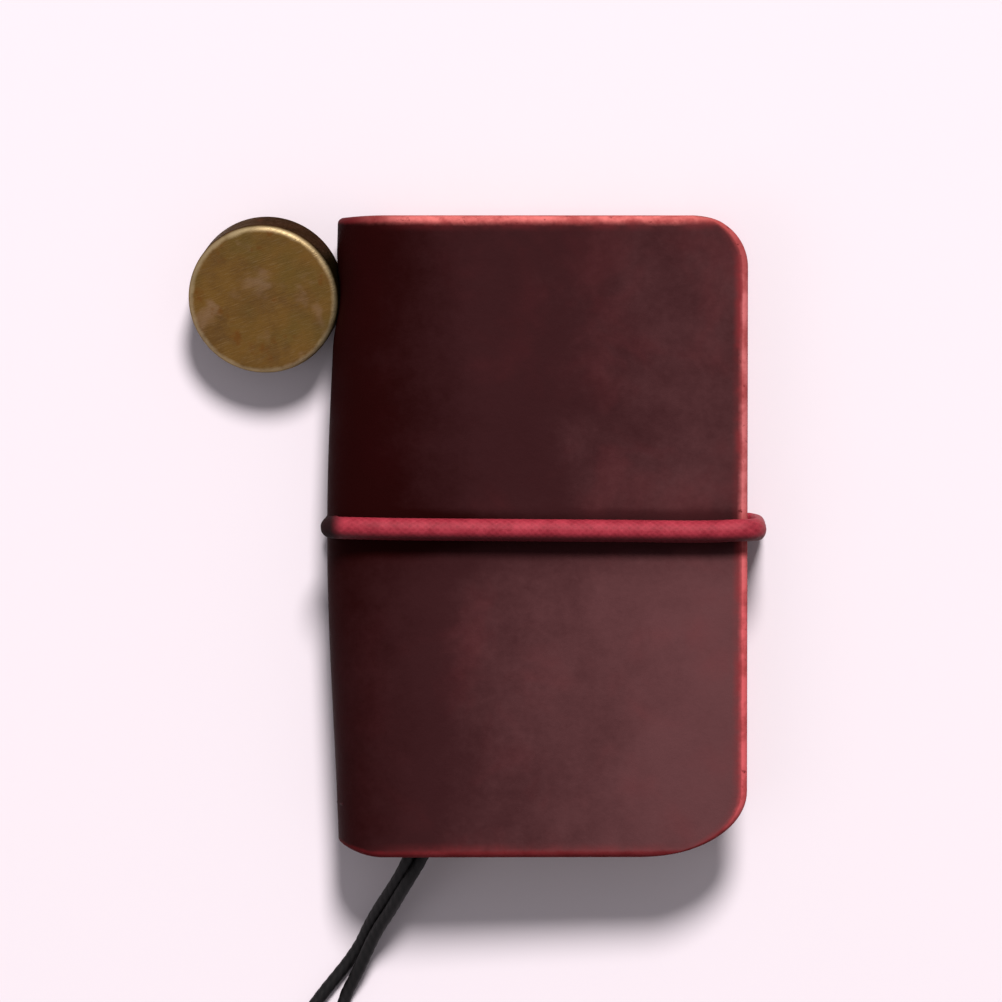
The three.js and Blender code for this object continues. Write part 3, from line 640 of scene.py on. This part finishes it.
# Rows from tail to head, denser at the half round ends and in the corners, and how far the
# half round is full at each
def hideRows():
    half = halfLeather
    turns = angles(84, 0, 8)
    ends, full = half * (1 - np.sin(turns)), np.cos(turns)
    tail = cover["tailCornerTall"] * (1 - np.sin(angles(62, 0, 16)))
    head = cover["headCorner"] * (1 - np.sin(angles(58, 0, 14)))
    beyond = half * 1.15  # where the corner's rows take over from the half round's
    tail, head = tail[tail > beyond], head[head > beyond]
    inner = np.linspace(-halfHeight + tail.max(), halfHeight - head.max(), 120)[1:-1]
    y = np.concatenate([
        -halfHeight + ends, -halfHeight + tail, inner, (halfHeight - head)[::-1], (halfHeight - ends)[::-1],
    ])
    k = np.concatenate([full, np.ones(len(tail) + len(inner) + len(head)), full[::-1]])
    return y, k


# The outer face of the hide's front (up 1) or back (up -1) half, moved inwards: from the seam
# on the spine's shoulder round the spine, then flat to the fore edge
def hideFace(face, up, arcCount, flatCount, row, inward):
    arc = spinePoint(np.linspace(cover["seamAngle"], up * 89.5, arcCount)[None, :], row, inward)
    share = np.linspace(0, 1, flatCount)[None, :]
    x = mix(cover["spineDepth"] + 0.15, foreEdge(row) - halfLeather, share)
    lift = uneven(x, row) * smoothstep(x, 6, 14) if up > 0 else 0
    z = height(face, x, row) + lift - up * inward
    flat = np.stack(np.broadcast_arrays(x, row, z), axis=-1)
    return np.concatenate([arc, flat], axis=1)


# One half of the hide: its outer face, a half round over the fore edge and its inner face.
# The last column comes twice, because a loft needs an even number of them.
def hidePiece(name, face, up, arcCount, flatCount):
    y, k = hideRows()
    half = halfLeather
    row, full = y[:, None], k[:, None]
    outer = hideFace(face, up, arcCount, flatCount, row, half * (1 - full))
    inner = hideFace(face, up, arcCount, flatCount, row, half * (1 + full))
    turns = angles(90, -90, 11)[1:-1][None, :]
    x = foreEdge(row) - half + half * np.cos(turns) * np.maximum(full, 0.3)
    z = height(face, x, row) + uneven(x, row) * (up > 0) - up * half * (1 - full * np.sin(turns))
    edge = np.stack(np.broadcast_arrays(x, row, z), axis=-1)
    points = np.concatenate([outer, edge, inner[:, ::-1], inner[:, :1]], axis=1)
    toEnd, toFore = np.minimum(halfHeight - np.abs(row), 40) - half, foreEdge(row) - outer[..., 0] - half
    away = np.minimum(toEnd, toFore)
    rim = np.concatenate([away, np.full(edge.shape[:2], -0.8), away[:, ::-1], away[:, :1]], axis=1)
    turned = np.broadcast_to(smoothstep(-np.sin(turns), 0.45, 0.95), edge.shape[:2])
    within = np.ones(inner.shape[:2]) * smoothstep(full, 0.0, 0.8)
    inside = np.concatenate([0 * within, turned, within, within[:, :1]], axis=1)
    quads = facingOut(points, loftQuads(*points.shape[:2]))
    return newPiece(name, points, quads, leatherMaterial, {"rimDistance": rim, "inside": inside})


frontHide = hidePiece("front_hide", "frontOuter", 1, 26, 96)
backHide = hidePiece("back_hide", "backOuter", -1, 64, 70)
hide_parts("front_cover")
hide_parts("back_cover", "spine")
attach(backHide, "back")
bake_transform(frontHide)
print("hide made")


# Cords

# Carries a sideways direction along the path without twist
def carryAcross(tangents, across):
    sides = np.zeros_like(tangents)
    current = np.array(across, float)
    for i, tangent in enumerate(tangents):
        current = current - tangent * current.dot(tangent)
        current /= np.linalg.norm(current)
        sides[i] = current
    return sides


# A tube along a path; width across "side", depth square to it, both over the share of the way
# along; relief is a share of the radius worked out from the distance along (mm) and the turn
# round (0 to 1)
def cordPiece(name, path, radius, material, sides, relief, width=None, depth=None,
              across=(0, 0, 1), rise=0.035, roundEnd=False):
    tangents = np.gradient(path, axis=0)
    tangents /= np.linalg.norm(tangents, axis=1, keepdims=True)
    side = carryAcross(tangents, across)
    up = np.cross(tangents, side)
    far = distances(path)[:, None]
    turn = (np.arange(sides) / sides)[None, :]
    wide = radius if width is None else width(far / far[-1])
    deep = radius if depth is None else depth(far / far[-1])
    ridge = relief(far, turn)
    swell = 1 + ridge * rise
    a = 2 * np.pi * turn
    points = path[:, None] + side[:, None] * (wide * swell * np.cos(a))[..., None]
    points = points + up[:, None] * (deep * swell * np.sin(a))[..., None]
    first, last = path[:1][:, None].repeat(sides, 1), path[-1:][:, None].repeat(sides, 1)
    if roundEnd:
        bend = angles(0, 84, 8)[1:, None, None]
        out = tangents[-1] * (radius if depth is None else float(depth(1.0)))
        dome = path[-1] + (points[-1] - path[-1]) * np.cos(bend) + out * np.sin(bend)
        points = np.concatenate([points, dome], axis=0)
        ridge = np.concatenate([ridge, np.repeat(ridge[-1:], len(dome), axis=0)], axis=0)
        last = last + out
    tipShare = 0.02  # the end rings' size, as a share of the cord's
    points = np.concatenate([
        mix(first, points[:1], tipShare), points, mix(last, points[-1:], tipShare),
    ], axis=0)
    ridge = np.concatenate([ridge[:1], ridge, ridge[-1:]], axis=0)
    quads = facingOut(points, tubeQuads(points.shape[0], sides))
    return newPiece(name, points, quads, material, {"braid": ridge * 0.5 + 0.5})


# Braid: two sets of diagonal yarns, whichever is higher at a point shows
def braid(pitch, yarns):
    def relief(far, turn):
        a = np.cos(2 * np.pi * (yarns * turn + far / pitch))
        b = np.cos(2 * np.pi * (yarns * turn - far / pitch))
        return np.maximum(a, b) * 0.8 + 0.2 * a * b
    return relief


# Twist: strands laid round in one direction
def twist(pitch, strands):
    def relief(far, turn):
        return np.abs(np.cos(np.pi * (strands * turn + far / pitch))) * 2 - 1
    return relief


strandRadius = marker["radius"] * marker["twistShare"]
cordTwist = twist(1.5, 4)
foreAtBand = float(foreEdge(np.array(band["y"])))
bandFaces = [height(name, foreAtBand, band["y"]) for name in ("frontOuter", "backOuter")]
bandMiddle = float(bandFaces[0] + bandFaces[1]) / 2


# Half of the closure elastic, over the front (side 1) or back (side -1): from its hole in the
# spine's shoulder, along the cover, to the middle of its turn round the fore edge
def bandHalf(side):
    name = "frontOuter" if side > 0 else "backOuter"
    clear = band["radius"] + band["clearance"]
    away = clear if side > 0 else band["flatHalfHeight"] + band["clearance"] / 2
    y, hole = band["y"] + band["lean"], band["holeAngle"]
    shoulder = hole + band["shoulder"]
    centreX = foreAtBand - halfLeather
    centreZ = float(height(name, centreX, y)) - side * halfLeather
    points = [
        spinePoint(side * hole, y, band["insideHole"]), spinePoint(side * hole, y, 0),
        spinePoint(side * (hole + 2), y, -band["outOfHole"]),
        spinePoint(side * shoulder, y, -mix(clear, away, 0.3)),
        spinePoint(side * mix(shoulder, 90, 0.63), y, -mix(clear, away, 0.85)),
    ]
    stations = [mix(slopeStart, foreAtBand, share) for share in (0.02, 0.31, 0.6, 0.86)]
    for x in (cover["spineDepth"] + 2, *stations):
        slanted = mix(y, band["y"] - band["foreDrop"], x / foreAtBand)
        points.append((x, slanted, float(height(name, x, y)) + side * away))
    y = band["y"]
    tight = band["turnHalfDepth"] + band["clearance"]
    for turn in (90, 60, 30, 0):
        reach = halfLeather + mix(tight, away, (turn / 90) ** 2)
        points.append((centreX + reach * math.cos(math.radians(turn)), y,
                       centreZ + side * reach * math.sin(math.radians(turn))))
    points.append((centreX + halfLeather + tight, y, bandMiddle))
    return smoothPath(points, 420)


# 1 where the back run is pressed flat under the notebook, 0 at its hole and its turn
def pressed(share):
    return smoothstep(share, 0.035, 0.11) * (1 - smoothstep(share, 0.893, 0.935))


# The elastic is drawn a little flatter where it turns round the fore edge
def atTurn(share, size):
    return mix(band["radius"], size, smoothstep(share, 0.87, 0.96))


def flattened(share, turned, flat):
    return mix(atTurn(share, turned), flat, pressed(share))


bandBraid = braid(band["pitch"], band["yarns"])
bandFront = cordPiece("elastic_front", bandHalf(1), band["radius"], elasticMaterial, sides=56,
                      width=lambda s: atTurn(s, band["turnHalfWidth"]),
                      depth=lambda s: atTurn(s, band["turnHalfDepth"]),
                      across=(0, 1, 0), relief=bandBraid, rise=0.015, roundEnd=True)
bandBack = cordPiece("elastic_back", bandHalf(-1), band["radius"], elasticMaterial, sides=56,
                     width=lambda s: flattened(s, band["turnHalfWidth"], band["flatHalfWidth"]),
                     depth=lambda s: flattened(s, band["turnHalfDepth"], band["flatHalfHeight"]),
                     across=(0, 1, 0), relief=bandBraid, rise=0.015, roundEnd=True)
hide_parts("closure_elastic_front")
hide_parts("closure_elastic_back")
# Both runs are fixed where they are made; places at the back run's turn and the front run's
# hole are worked out but not used
loopFrom, loopTo = toRow((59.57, 1.1, 4.4)), toRow((60.0, 1.1, 7.27))
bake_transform(bandBack)
holeFrom, holeTo = toRow((0, 0, 13.35)), toRow((0.33, 0, 16.67))
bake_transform(bandFront)


# A knot: a cord wound in a trefoil, small enough that its turns press together
def knotPiece(name, centre, sizes, angle, material, relief):
    size, radius = sizes
    t = np.linspace(0, 2 * np.pi, 160)
    x = (np.sin(t) + 2 * np.sin(2 * t)) * size / 3
    y = (np.cos(t) - 2 * np.cos(2 * t)) * size / 3
    z = -np.sin(3 * t) * size / 2.6
    c, s = math.cos(angle), math.sin(angle)
    path = np.stack([z * c - x * s, z * s + x * c, y], axis=-1) + np.array(centre)
    return cordPiece(name, path, radius, material, sides=20, relief=relief, across=(0.3, 0.2, 1))


# A tail's knot sits just past its end and rests on the table
def tailKnot(name, tail):
    end, before = np.array(tail[-1]), np.array(tail[-2])
    along = (end - before) / np.linalg.norm(end - before)
    centre = end + along * marker["knotPast"]
    centre[2] = marker["knotHeight"]
    turn = math.atan2(along[1], along[0])
    return knotPiece(name, centre, knotSizes["tail"], turn, cordMaterial, twist(1.3, 3))


for word, tail in (("left", leftTail), ("right", rightTail)):
    knot = tailKnot(f"marker_{word}_knot", tail)
    path = smoothPath(tail, 200)
    piece = cordPiece(f"marker_{word}_end", path, strandRadius, cordMaterial, sides=32,
                      relief=cordTwist)
    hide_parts(f"marker_tail_{word}")
    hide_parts(f"marker_knot_{word}")
    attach(piece, "back")
    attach(knot, "back")
    toRow(tail[0])
    toRow(path)

outerAtTether = float(spineLeft(np.array(marker["tetherY"])))


# Middle of the marker's room between booklets 2 and 1
def markerGutter(y):
    return float(height("booklet2Top", 0, y) + height("booklet1Bottom", 0, y)) / 2


# Inside, each strand keeps half the spacing to its side of one middle line
def strandPath(side):
    half, y0 = marker["spacing"] / 2, marker["tetherY"]
    middle = [
        (6.6, 30.8), (9, 24), (10.8, 12), (11.6, 0), (11.9, -14), (11.9, -30), (11.5, -40), (11.15, -44.6),
    ]
    points = [
        (outerAtTether + 0.2, y0 + side * half, marker["tetherZ"]),
        (outerAtTether + 2.6, y0 + side * half, marker["tetherZ"] + 0.1),
        (4.2, y0 - 0.6 + side * half, 8.3),
    ]
    for i, (x, y) in enumerate(middle):
        before, after = middle[max(0, i - 1)], middle[min(len(middle) - 1, i + 1)]
        dx, dy = after[0] - before[0], after[1] - before[1]
        size = math.hypot(dx, dy)
        points.append((x - side * half * dy / size, y + side * half * dx / size, markerGutter(y)))
    points.append(leftTail[0] if side < 0 else rightTail[0])
    return smoothPath(points, 260)


for side, word in ((-1, "left"), (1, "right")):
    strand = cordPiece(f"marker_{word}_run", strandPath(side), strandRadius, cordMaterial,
                       sides=24, relief=cordTwist)
    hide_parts(f"marker_strand_{word}")
    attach(strand, "back")


# The cord's bight: out of one hole, round in the disc's side and back in at the other hole
def bightPath():
    start, half = outerAtTether + 0.2, marker["spacing"] / 2
    y0, z = marker["tetherY"], marker["tetherZ"]
    points = [(start, y0 + half, z), (start - 1.75, y0 + half, z)]
    for turn in (30, 60, 90, 120, 150):
        a = math.radians(turn)
        points.append((start - 1.95 - half * math.sin(a), y0 + half * math.cos(a), z))
    points += [(start - 1.75, y0 - half, z), (start, y0 - half, z)]
    return smoothPath(points, 90)


bight = cordPiece("marker_loop", bightPath(), strandRadius, cordMaterial, sides=24, relief=cordTwist)
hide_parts("marker_bight")
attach(bight, "disc")
print("cords made")


# Brass disc: a turned profile with a soft bevel, leaned over and rested on its far rim
def discPiece():
    r, t, b = marker["discRadius"], marker["discThickness"], marker["discBevel"]
    rings, sides, inset = 25, 180, 0.45 * b
    bend = angles(0, 90, 9)
    lowEdge = np.stack([r - b + b * np.sin(bend), b - b * np.cos(bend)], axis=-1)
    topEdge = np.stack([r - b + b * np.cos(bend), t - b + b * np.sin(bend)], axis=-1)
    face = np.linspace(r - b, 0.05, rings + 1)[1:]
    bottom = np.stack([face[::-1], np.zeros(rings)], axis=-1)
    top = np.stack([face, np.full(rings, t)], axis=-1)
    wall = np.stack([np.full(8, r), np.linspace(b, t - b, 10)[1:-1]], axis=-1)
    profile = np.vstack([bottom, lowEdge, wall, topEdge, top])
    a = (np.arange(sides) / sides * 2 * np.pi)[None, :]
    radius, z = profile[:, :1], profile[:, 1:]
    flat = np.stack(np.broadcast_arrays(radius * np.cos(a), radius * np.sin(a), z), axis=-1)
    lean, tilt = math.radians(marker["discLean"]), math.radians(marker["discTilt"])
    axis = np.array([-math.sin(lean), math.cos(lean), 0])
    turned = flat * math.cos(tilt) + np.cross(axis, flat) * math.sin(tilt)
    turned = turned + axis * ((flat @ axis) * (1 - math.cos(tilt)))[..., None]
    low, high = turned.reshape(-1, 3).min(0), turned.reshape(-1, 3).max(0)
    near = outerAtTether - marker["discGap"]
    middle = marker["tetherY"] + marker["discRise"]
    points = turned + np.array([near - high[0], middle - (low[1] + high[1]) / 2, -low[2]])
    fromEdge = np.minimum(np.abs(z - (t - inset)), np.abs(z - inset))
    rim = np.hypot(radius - (r - inset), fromEdge)
    side = smoothstep(radius, r - 0.25 * b, r) * smoothstep(z, 0.0, b) * smoothstep(t - z, 0.0, b)
    quads = facingOut(points, tubeQuads(points.shape[0], sides))
    return newPiece("brass_page_weight", points, quads, brassMaterial,
                    {"rimDistance": rim, "discSide": side})


disc = discPiece()
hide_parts("brass_disc")
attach(disc, "disc")
print("disc made")


# Booklets

foldX = booklet["foldToSpine"] + booklet["foldReach"]
bookletHalf = booklet["height"] / 2


def bookletRows():
    corner = booklet["corner"] * (1 - np.sin(angles(88, 0, 9)))
    inner = np.linspace(-bookletHalf + booklet["corner"], bookletHalf - booklet["corner"], 44)[1:-1]
    return np.concatenate([-bookletHalf + corner, inner, (bookletHalf - corner)[::-1]])


def bookletEdge(y):
    over = np.maximum(0, np.abs(y) - (bookletHalf - booklet["corner"]))
    arc = np.sqrt(np.maximum(0.0, 1 - (over / booklet["corner"]) ** 2))
    return booklet["fore"] - booklet["corner"] * (1 - arc)


# Half a booklet's height, its middle's height and how it drops towards the fore edge
def bookletAt(number, y):
    bottom, top = height(f"booklet{number}Bottom", 0, y), height(f"booklet{number}Top", 0, y)
    sloped = faces[f"booklet{number}Top"][2]
    return (top - bottom) / 2, (top + bottom) / 2, lambda x: sloped * drop(x)


# One sheet of paper or card as a thin closed body: its outline runs along its outer face and
# back along its inner one. A front sheet lies over the fold's middle, a back one goes round the
# fold and under it, and a folded one does both. level(half) is how far the outer face is from
# the middle, thin the sheet's thickness.
def sheetPoints(number, y, level, reach, thin, part, foreShift=0.0, ripple=None):
    half, middle, lower = bookletAt(number, y[:, None])
    fore = bookletEdge(y)[:, None] + foreShift
    share = np.linspace(0, 1, 16)[None, :] ** 0.9

    def face(out, grow):
        x = mix(foldX + (booklet["leafStart"] if part == "front" else 0.0), fore, share)
        a = angles(90, 270, 15)[None, :]
        fold = np.stack([foldX + (reach - grow) * np.cos(a) + 0 * out, out * np.sin(a)])
        over, under = np.stack([x, out + 0 * x]), np.stack([x, -out + 0 * x])
        runs = {"front": [over], "back": [fold, under], "folded": [over[:, :, ::-1], fold, under]}
        return np.concatenate(runs[part], axis=2)

    out = level(half)
    x, z = np.concatenate([face(out, 0), face(out - thin, thin)[:, :, ::-1]], axis=2)
    wave = ripple(x, y[:, None]) if ripple else 0
    return np.stack([x, y[:, None] + 0 * x, middle + z - lower(x) + wave], axis=-1)


# Several sheets as one piece, each a body of its own
def stackPiece(name, layers, material):
    points, quads, start = [], [], 0
    for layer in layers:
        made = facingOut(layer, loftQuads(*layer.shape[:2]))
        points.append(layer.reshape(-1, 3))
        quads.append(made + start)
        start += layer.shape[0] * layer.shape[1]
    return newPiece(name, np.vstack(points)[None], np.vstack(quads), material, smooth=False)


# Leaves ripple a little, more towards the fore edge, each with its own phase
def leafRipple(rng, size):
    phase, turn, bend = rng.uniform(0, 6.3), rng.uniform(0.05, 0.12), rng.uniform(0.03, 0.09)
    return lambda x, y: size * np.sin(bend * x + turn * y + phase) * smoothstep(x, foldX + 2, booklet["fore"])


# A block of nested leaves between two levels, given as shares of the room inside the card
def leafBlock(number, part, low, high, count, seed):
    rng = np.random.default_rng(seed)
    inset, gap = booklet["card"] + booklet["paperGap"], booklet["paperGap"]
    y = bookletRows()
    layers = []
    for i in range(count):
        share = mix(low, high, (i + 1) / count)

        def level(half, share=share):
            return gap + share * (half - inset - gap)

        reach = mix(booklet["leafReach"], booklet["foldReach"] - inset, share)
        shift, ripple = rng.uniform(*booklet["leafShift"]), leafRipple(rng, booklet["ripple"])
        layers.append(sheetPoints(number, y, level, reach, booklet["leaf"], part, shift, ripple))
    return layers


def cardPoints(number, part):
    y = bookletRows()
    return [sheetPoints(number, y, lambda half: half, booklet["foldReach"], booklet["card"], part)]


# Piece, node, booklet, part, body, and the leaves' levels, count and seed (none for card).
# The front half of booklet 1 turns with the cover.
sheets = [
    ("booklet3_kraft_card", "booklet3_card", 3, "folded", "back", None),
    ("booklet3_paper", "booklet3_leaves", 3, "folded", "back", (0.0, 1.0, 11, 23)),
    ("booklet2_kraft_card", "booklet2_card", 2, "folded", "back", None),
    ("booklet2_paper", "booklet2_leaves", 2, "folded", "back", (0.0, 1.0, 11, 22)),
    ("booklet1_kraft_back", "booklet1_card_back", 1, "back", "back", None),
    ("booklet1_paper_back", "booklet1_leaves_back", 1, "back", "back", (0.0, 1.0, 11, 31)),
    ("booklet1_kraft_front", "booklet1_card_front", 1, "front", "card", None),
    ("booklet1_paper_front", "booklet1_leaves_front", 1, "front", "leaves_front", (0.54, 1.0, 5, 51)),
    ("booklet1_paper_middle", "booklet1_leaves_middle", 1, "front", "leaves_middle", (0.0, 0.46, 5, 52)),
]
for name, node, number, part, body, leaves in sheets:
    if leaves:
        piece = stackPiece(name, leafBlock(number, part, *leaves), paperMaterial)
    else:
        piece = stackPiece(name, cardPoints(number, part), kraftMaterial)
    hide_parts(node)
    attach(piece, body)
print("booklets made")


# Small parts inside the cover

def bookletMiddle(number, y):
    return float(bookletAt(number, np.array(float(y)))[1])


# Sewing thread: along the outside of the fold, drawn into it at four holes
def threadPath(number):
    end, width = inner["threadLength"] / 2, inner["stitchWidth"]
    along = np.linspace(-0.5, 0.5, 61) * inner["threadLength"]
    dips = np.exp(-((np.abs(along) - inner["stitch"]) / width) ** 2)
    dips = dips + smoothstep(np.abs(along), end - width, end)
    x = booklet["foldToSpine"] - booklet["paperGap"] - inner["threadRadius"] + inner["threadSink"] * dips
    z = bookletAt(number, along)[1]
    return smoothPath(np.stack([x, along, z], axis=-1), 420)


# The hole of a booklet's elastic in the spine, as an angle round it
def holeAngle(number, end):
    y = end * inner["bindingHoleY"]
    low, high = float(height("backOuter", 0, y)), float(height("frontOuter", 0, y))
    return math.degrees(math.asin((bookletMiddle(number, y) - (low + high) / 2) / ((high - low) / 2)))


# From a booklet's fold round its end and out through the hide at its hole
def laceLeg(number, end):
    z, y, r = bookletMiddle(number, end * bookletHalf), end * inner["bindingHoleY"], inner["bindingRadius"]
    beyond, inside = bookletHalf + r + 2 * booklet["paperGap"], inner["bindingInside"]
    depths = (cover["leather"] + 2 * r, halfLeather, r)
    holes = [spinePoint(holeAngle(number, end), y, depth) for depth in depths]
    return [
        (foldX, end * (bookletHalf + 0.2), z), (foldX - 0.6, end * (beyond + 0.2), z),
        ((foldX + inside) / 2, end * (beyond + 0.4), z), (inside + 0.3, end * beyond, z),
        (inside, end * (bookletHalf - 1), z), *((p[0], y, p[2]) for p in holes),
    ]


# Along the inside of a booklet's fold
def foldRun(number, direction):
    stops = np.array([-0.85 * bookletHalf, *np.linspace(-1, 1, 9) * band["waistReach"], 0.85 * bookletHalf])
    return [(foldX, y, bookletMiddle(number, y)) for y in stops * direction]


# Halfway between two booklets' holes, in the groove on the spine
def linkPoint(first, second, end):
    y = end * inner["bindingHoleY"]
    p = spinePoint((holeAngle(first, end) + holeAngle(second, end)) / 2, y, inner["linkSink"])
    return [(p[0], y, p[2])]


# One lace: up booklet 3, down booklet 2, up booklet 1, out of the spine and in again between
def bindingPath():
    first, last = bookletMiddle(3, -bookletHalf), bookletMiddle(1, bookletHalf)
    return smoothPath([
        (foldX, -bookletHalf - inner["bindingEnd"], first), *foldRun(3, 1), *laceLeg(3, 1),
        *linkPoint(3, 2, 1), *laceLeg(2, 1)[::-1], *foldRun(2, -1), *laceLeg(2, -1),
        *linkPoint(2, 1, -1), *laceLeg(1, -1)[::-1], *foldRun(1, 1),
        (foldX, bookletHalf + inner["bindingEnd"], last),
    ], 1500)


for number in (1, 2, 3):
    thread = cordPiece(f"booklet{number}_linen_thread", threadPath(number), inner["threadRadius"],
                       threadMaterial, sides=12, relief=twist(0.8, 3), rise=0.08)
    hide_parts(f"booklet{number}_thread")
    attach(thread, "back")

laceBraid = braid(0.5, 4)
lace = cordPiece("binding_lace", bindingPath(), inner["bindingRadius"], laceMaterial,
                 sides=14, relief=laceBraid, rise=0.03)
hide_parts("binding_elastic")
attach(lace, "back")

knotAway = bookletHalf + inner["bindingEnd"] + inner["bindingKnot"] + 0.2
laceKnots = (("tail", (foldX, -knotAway, bookletMiddle(3, -bookletHalf))),
             ("head", (foldX, knotAway, bookletMiddle(1, bookletHalf))))
for word, centre in laceKnots:
    knot = knotPiece(f"binding_lace_knot_{word}", centre, knotSizes["lace"], math.pi / 2, laceMaterial,
                     laceBraid)
    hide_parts(f"binding_knot_{word}")
    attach(knot, "back")

bandKnotAt = spinePoint(0, band["y"], cover["leather"] + booklet["waistGap"] + inner["bandKnot"])
bandKnot = knotPiece("elastic_knot", (bandKnotAt[0], band["y"], bandKnotAt[2]), knotSizes["band"], 0,
                     elasticMaterial, braid(1.0, 6))
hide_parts("closure_knot")
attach(bandKnot, "back")
print("small parts made")


# Stage: floor, soft lamps and a pale world. The floor and the world look pale to the camera and
# in reflections, but send less light on to the notebook.

stage = {
    "floorSeen": (0.82, 0.735, 0.79), "floorBounce": (0.42, 0.38, 0.4), "floorHalf": 3.0,
    "worldSeen": (0.93, 0.85, 0.91), "world": (0.95, 0.93, 0.96), "worldLevel": 0.24,
    "lampsAim": (0, 0, 0.007),
}
# Name, place (m), size (m), power (W) and colour
lamps = [
    ("headLamp", (0.6, 3.5, 3.7), 1.4, 352, (1, 0.98, 0.97)),
    ("sideLamp", (-1.5, -0.6, 2.1), 1.8, 5, (0.97, 0.97, 1)),
]


# 1 where the camera, a reflection or a clear surface shows it, 0 for the light it sends on
def directlySeen(start):
    rays = start.node("ShaderNodeLightPath", output="Is Camera Ray")
    shown = rays.maths("MAXIMUM", rays, rays.output("Is Glossy Ray"))
    return rays.maths("MAXIMUM", shown, rays.output("Is Transmission Ray"))


def setWorld():
    world = bpy.data.worlds.new("paleRoom")
    world.use_nodes = True
    tree = world.node_tree
    tree.nodes.clear()
    start = Wire(tree)
    around = start.node("ShaderNodeBackground", {}, {
        "Color": rgba(stage["world"]), "Strength": stage["worldLevel"],
    })
    shown = start.node("ShaderNodeBackground", {}, {"Color": rgba(stage["worldSeen"]), "Strength": 1.0})
    both = start.node("ShaderNodeMixShader", {}, {0: directlySeen(start), 1: around, 2: shown})
    start.node("ShaderNodeOutputWorld", {}, {"Surface": both})
    bpy.context.scene.world = world


def floorNodes(start):
    color = blendColor(directlySeen(start), stage["floorBounce"], stage["floorSeen"])
    return {"Base Color": color, "Roughness": 0.9, "Specular IOR Level": 0.1}


def addFloor():
    size = stage["floorHalf"]
    mesh = bpy.data.meshes.new("floor")
    corners = [(-size, -size, 0), (size, -size, 0), (size, size, 0), (-size, size, 0)]
    mesh.from_pydata(corners, [], [(0, 1, 2, 3)])
    mesh.materials.append(newMaterial("paleFloor", floorNodes))
    floor = bpy.data.objects.new("floor", mesh)
    floor.location.z = -0.00004
    bpy.context.scene.collection.objects.link(floor)


def addLamp(name, place, size, power, color):
    data = bpy.data.lights.new(name, "AREA")
    data.shape = "DISK"
    data.size = size
    data.energy = power
    data.color = color
    lamp = bpy.data.objects.new(name, data)
    lamp.location = place
    direction = Vector(stage["lampsAim"]) - Vector(place)
    lamp.rotation_euler = direction.to_track_quat("-Z", "Y").to_euler()
    bpy.context.scene.collection.objects.link(lamp)


setWorld()
addFloor()
for lamp in lamps:
    addLamp(*lamp)
bpy.context.scene.view_settings.view_transform = "Standard"
print("stage set")
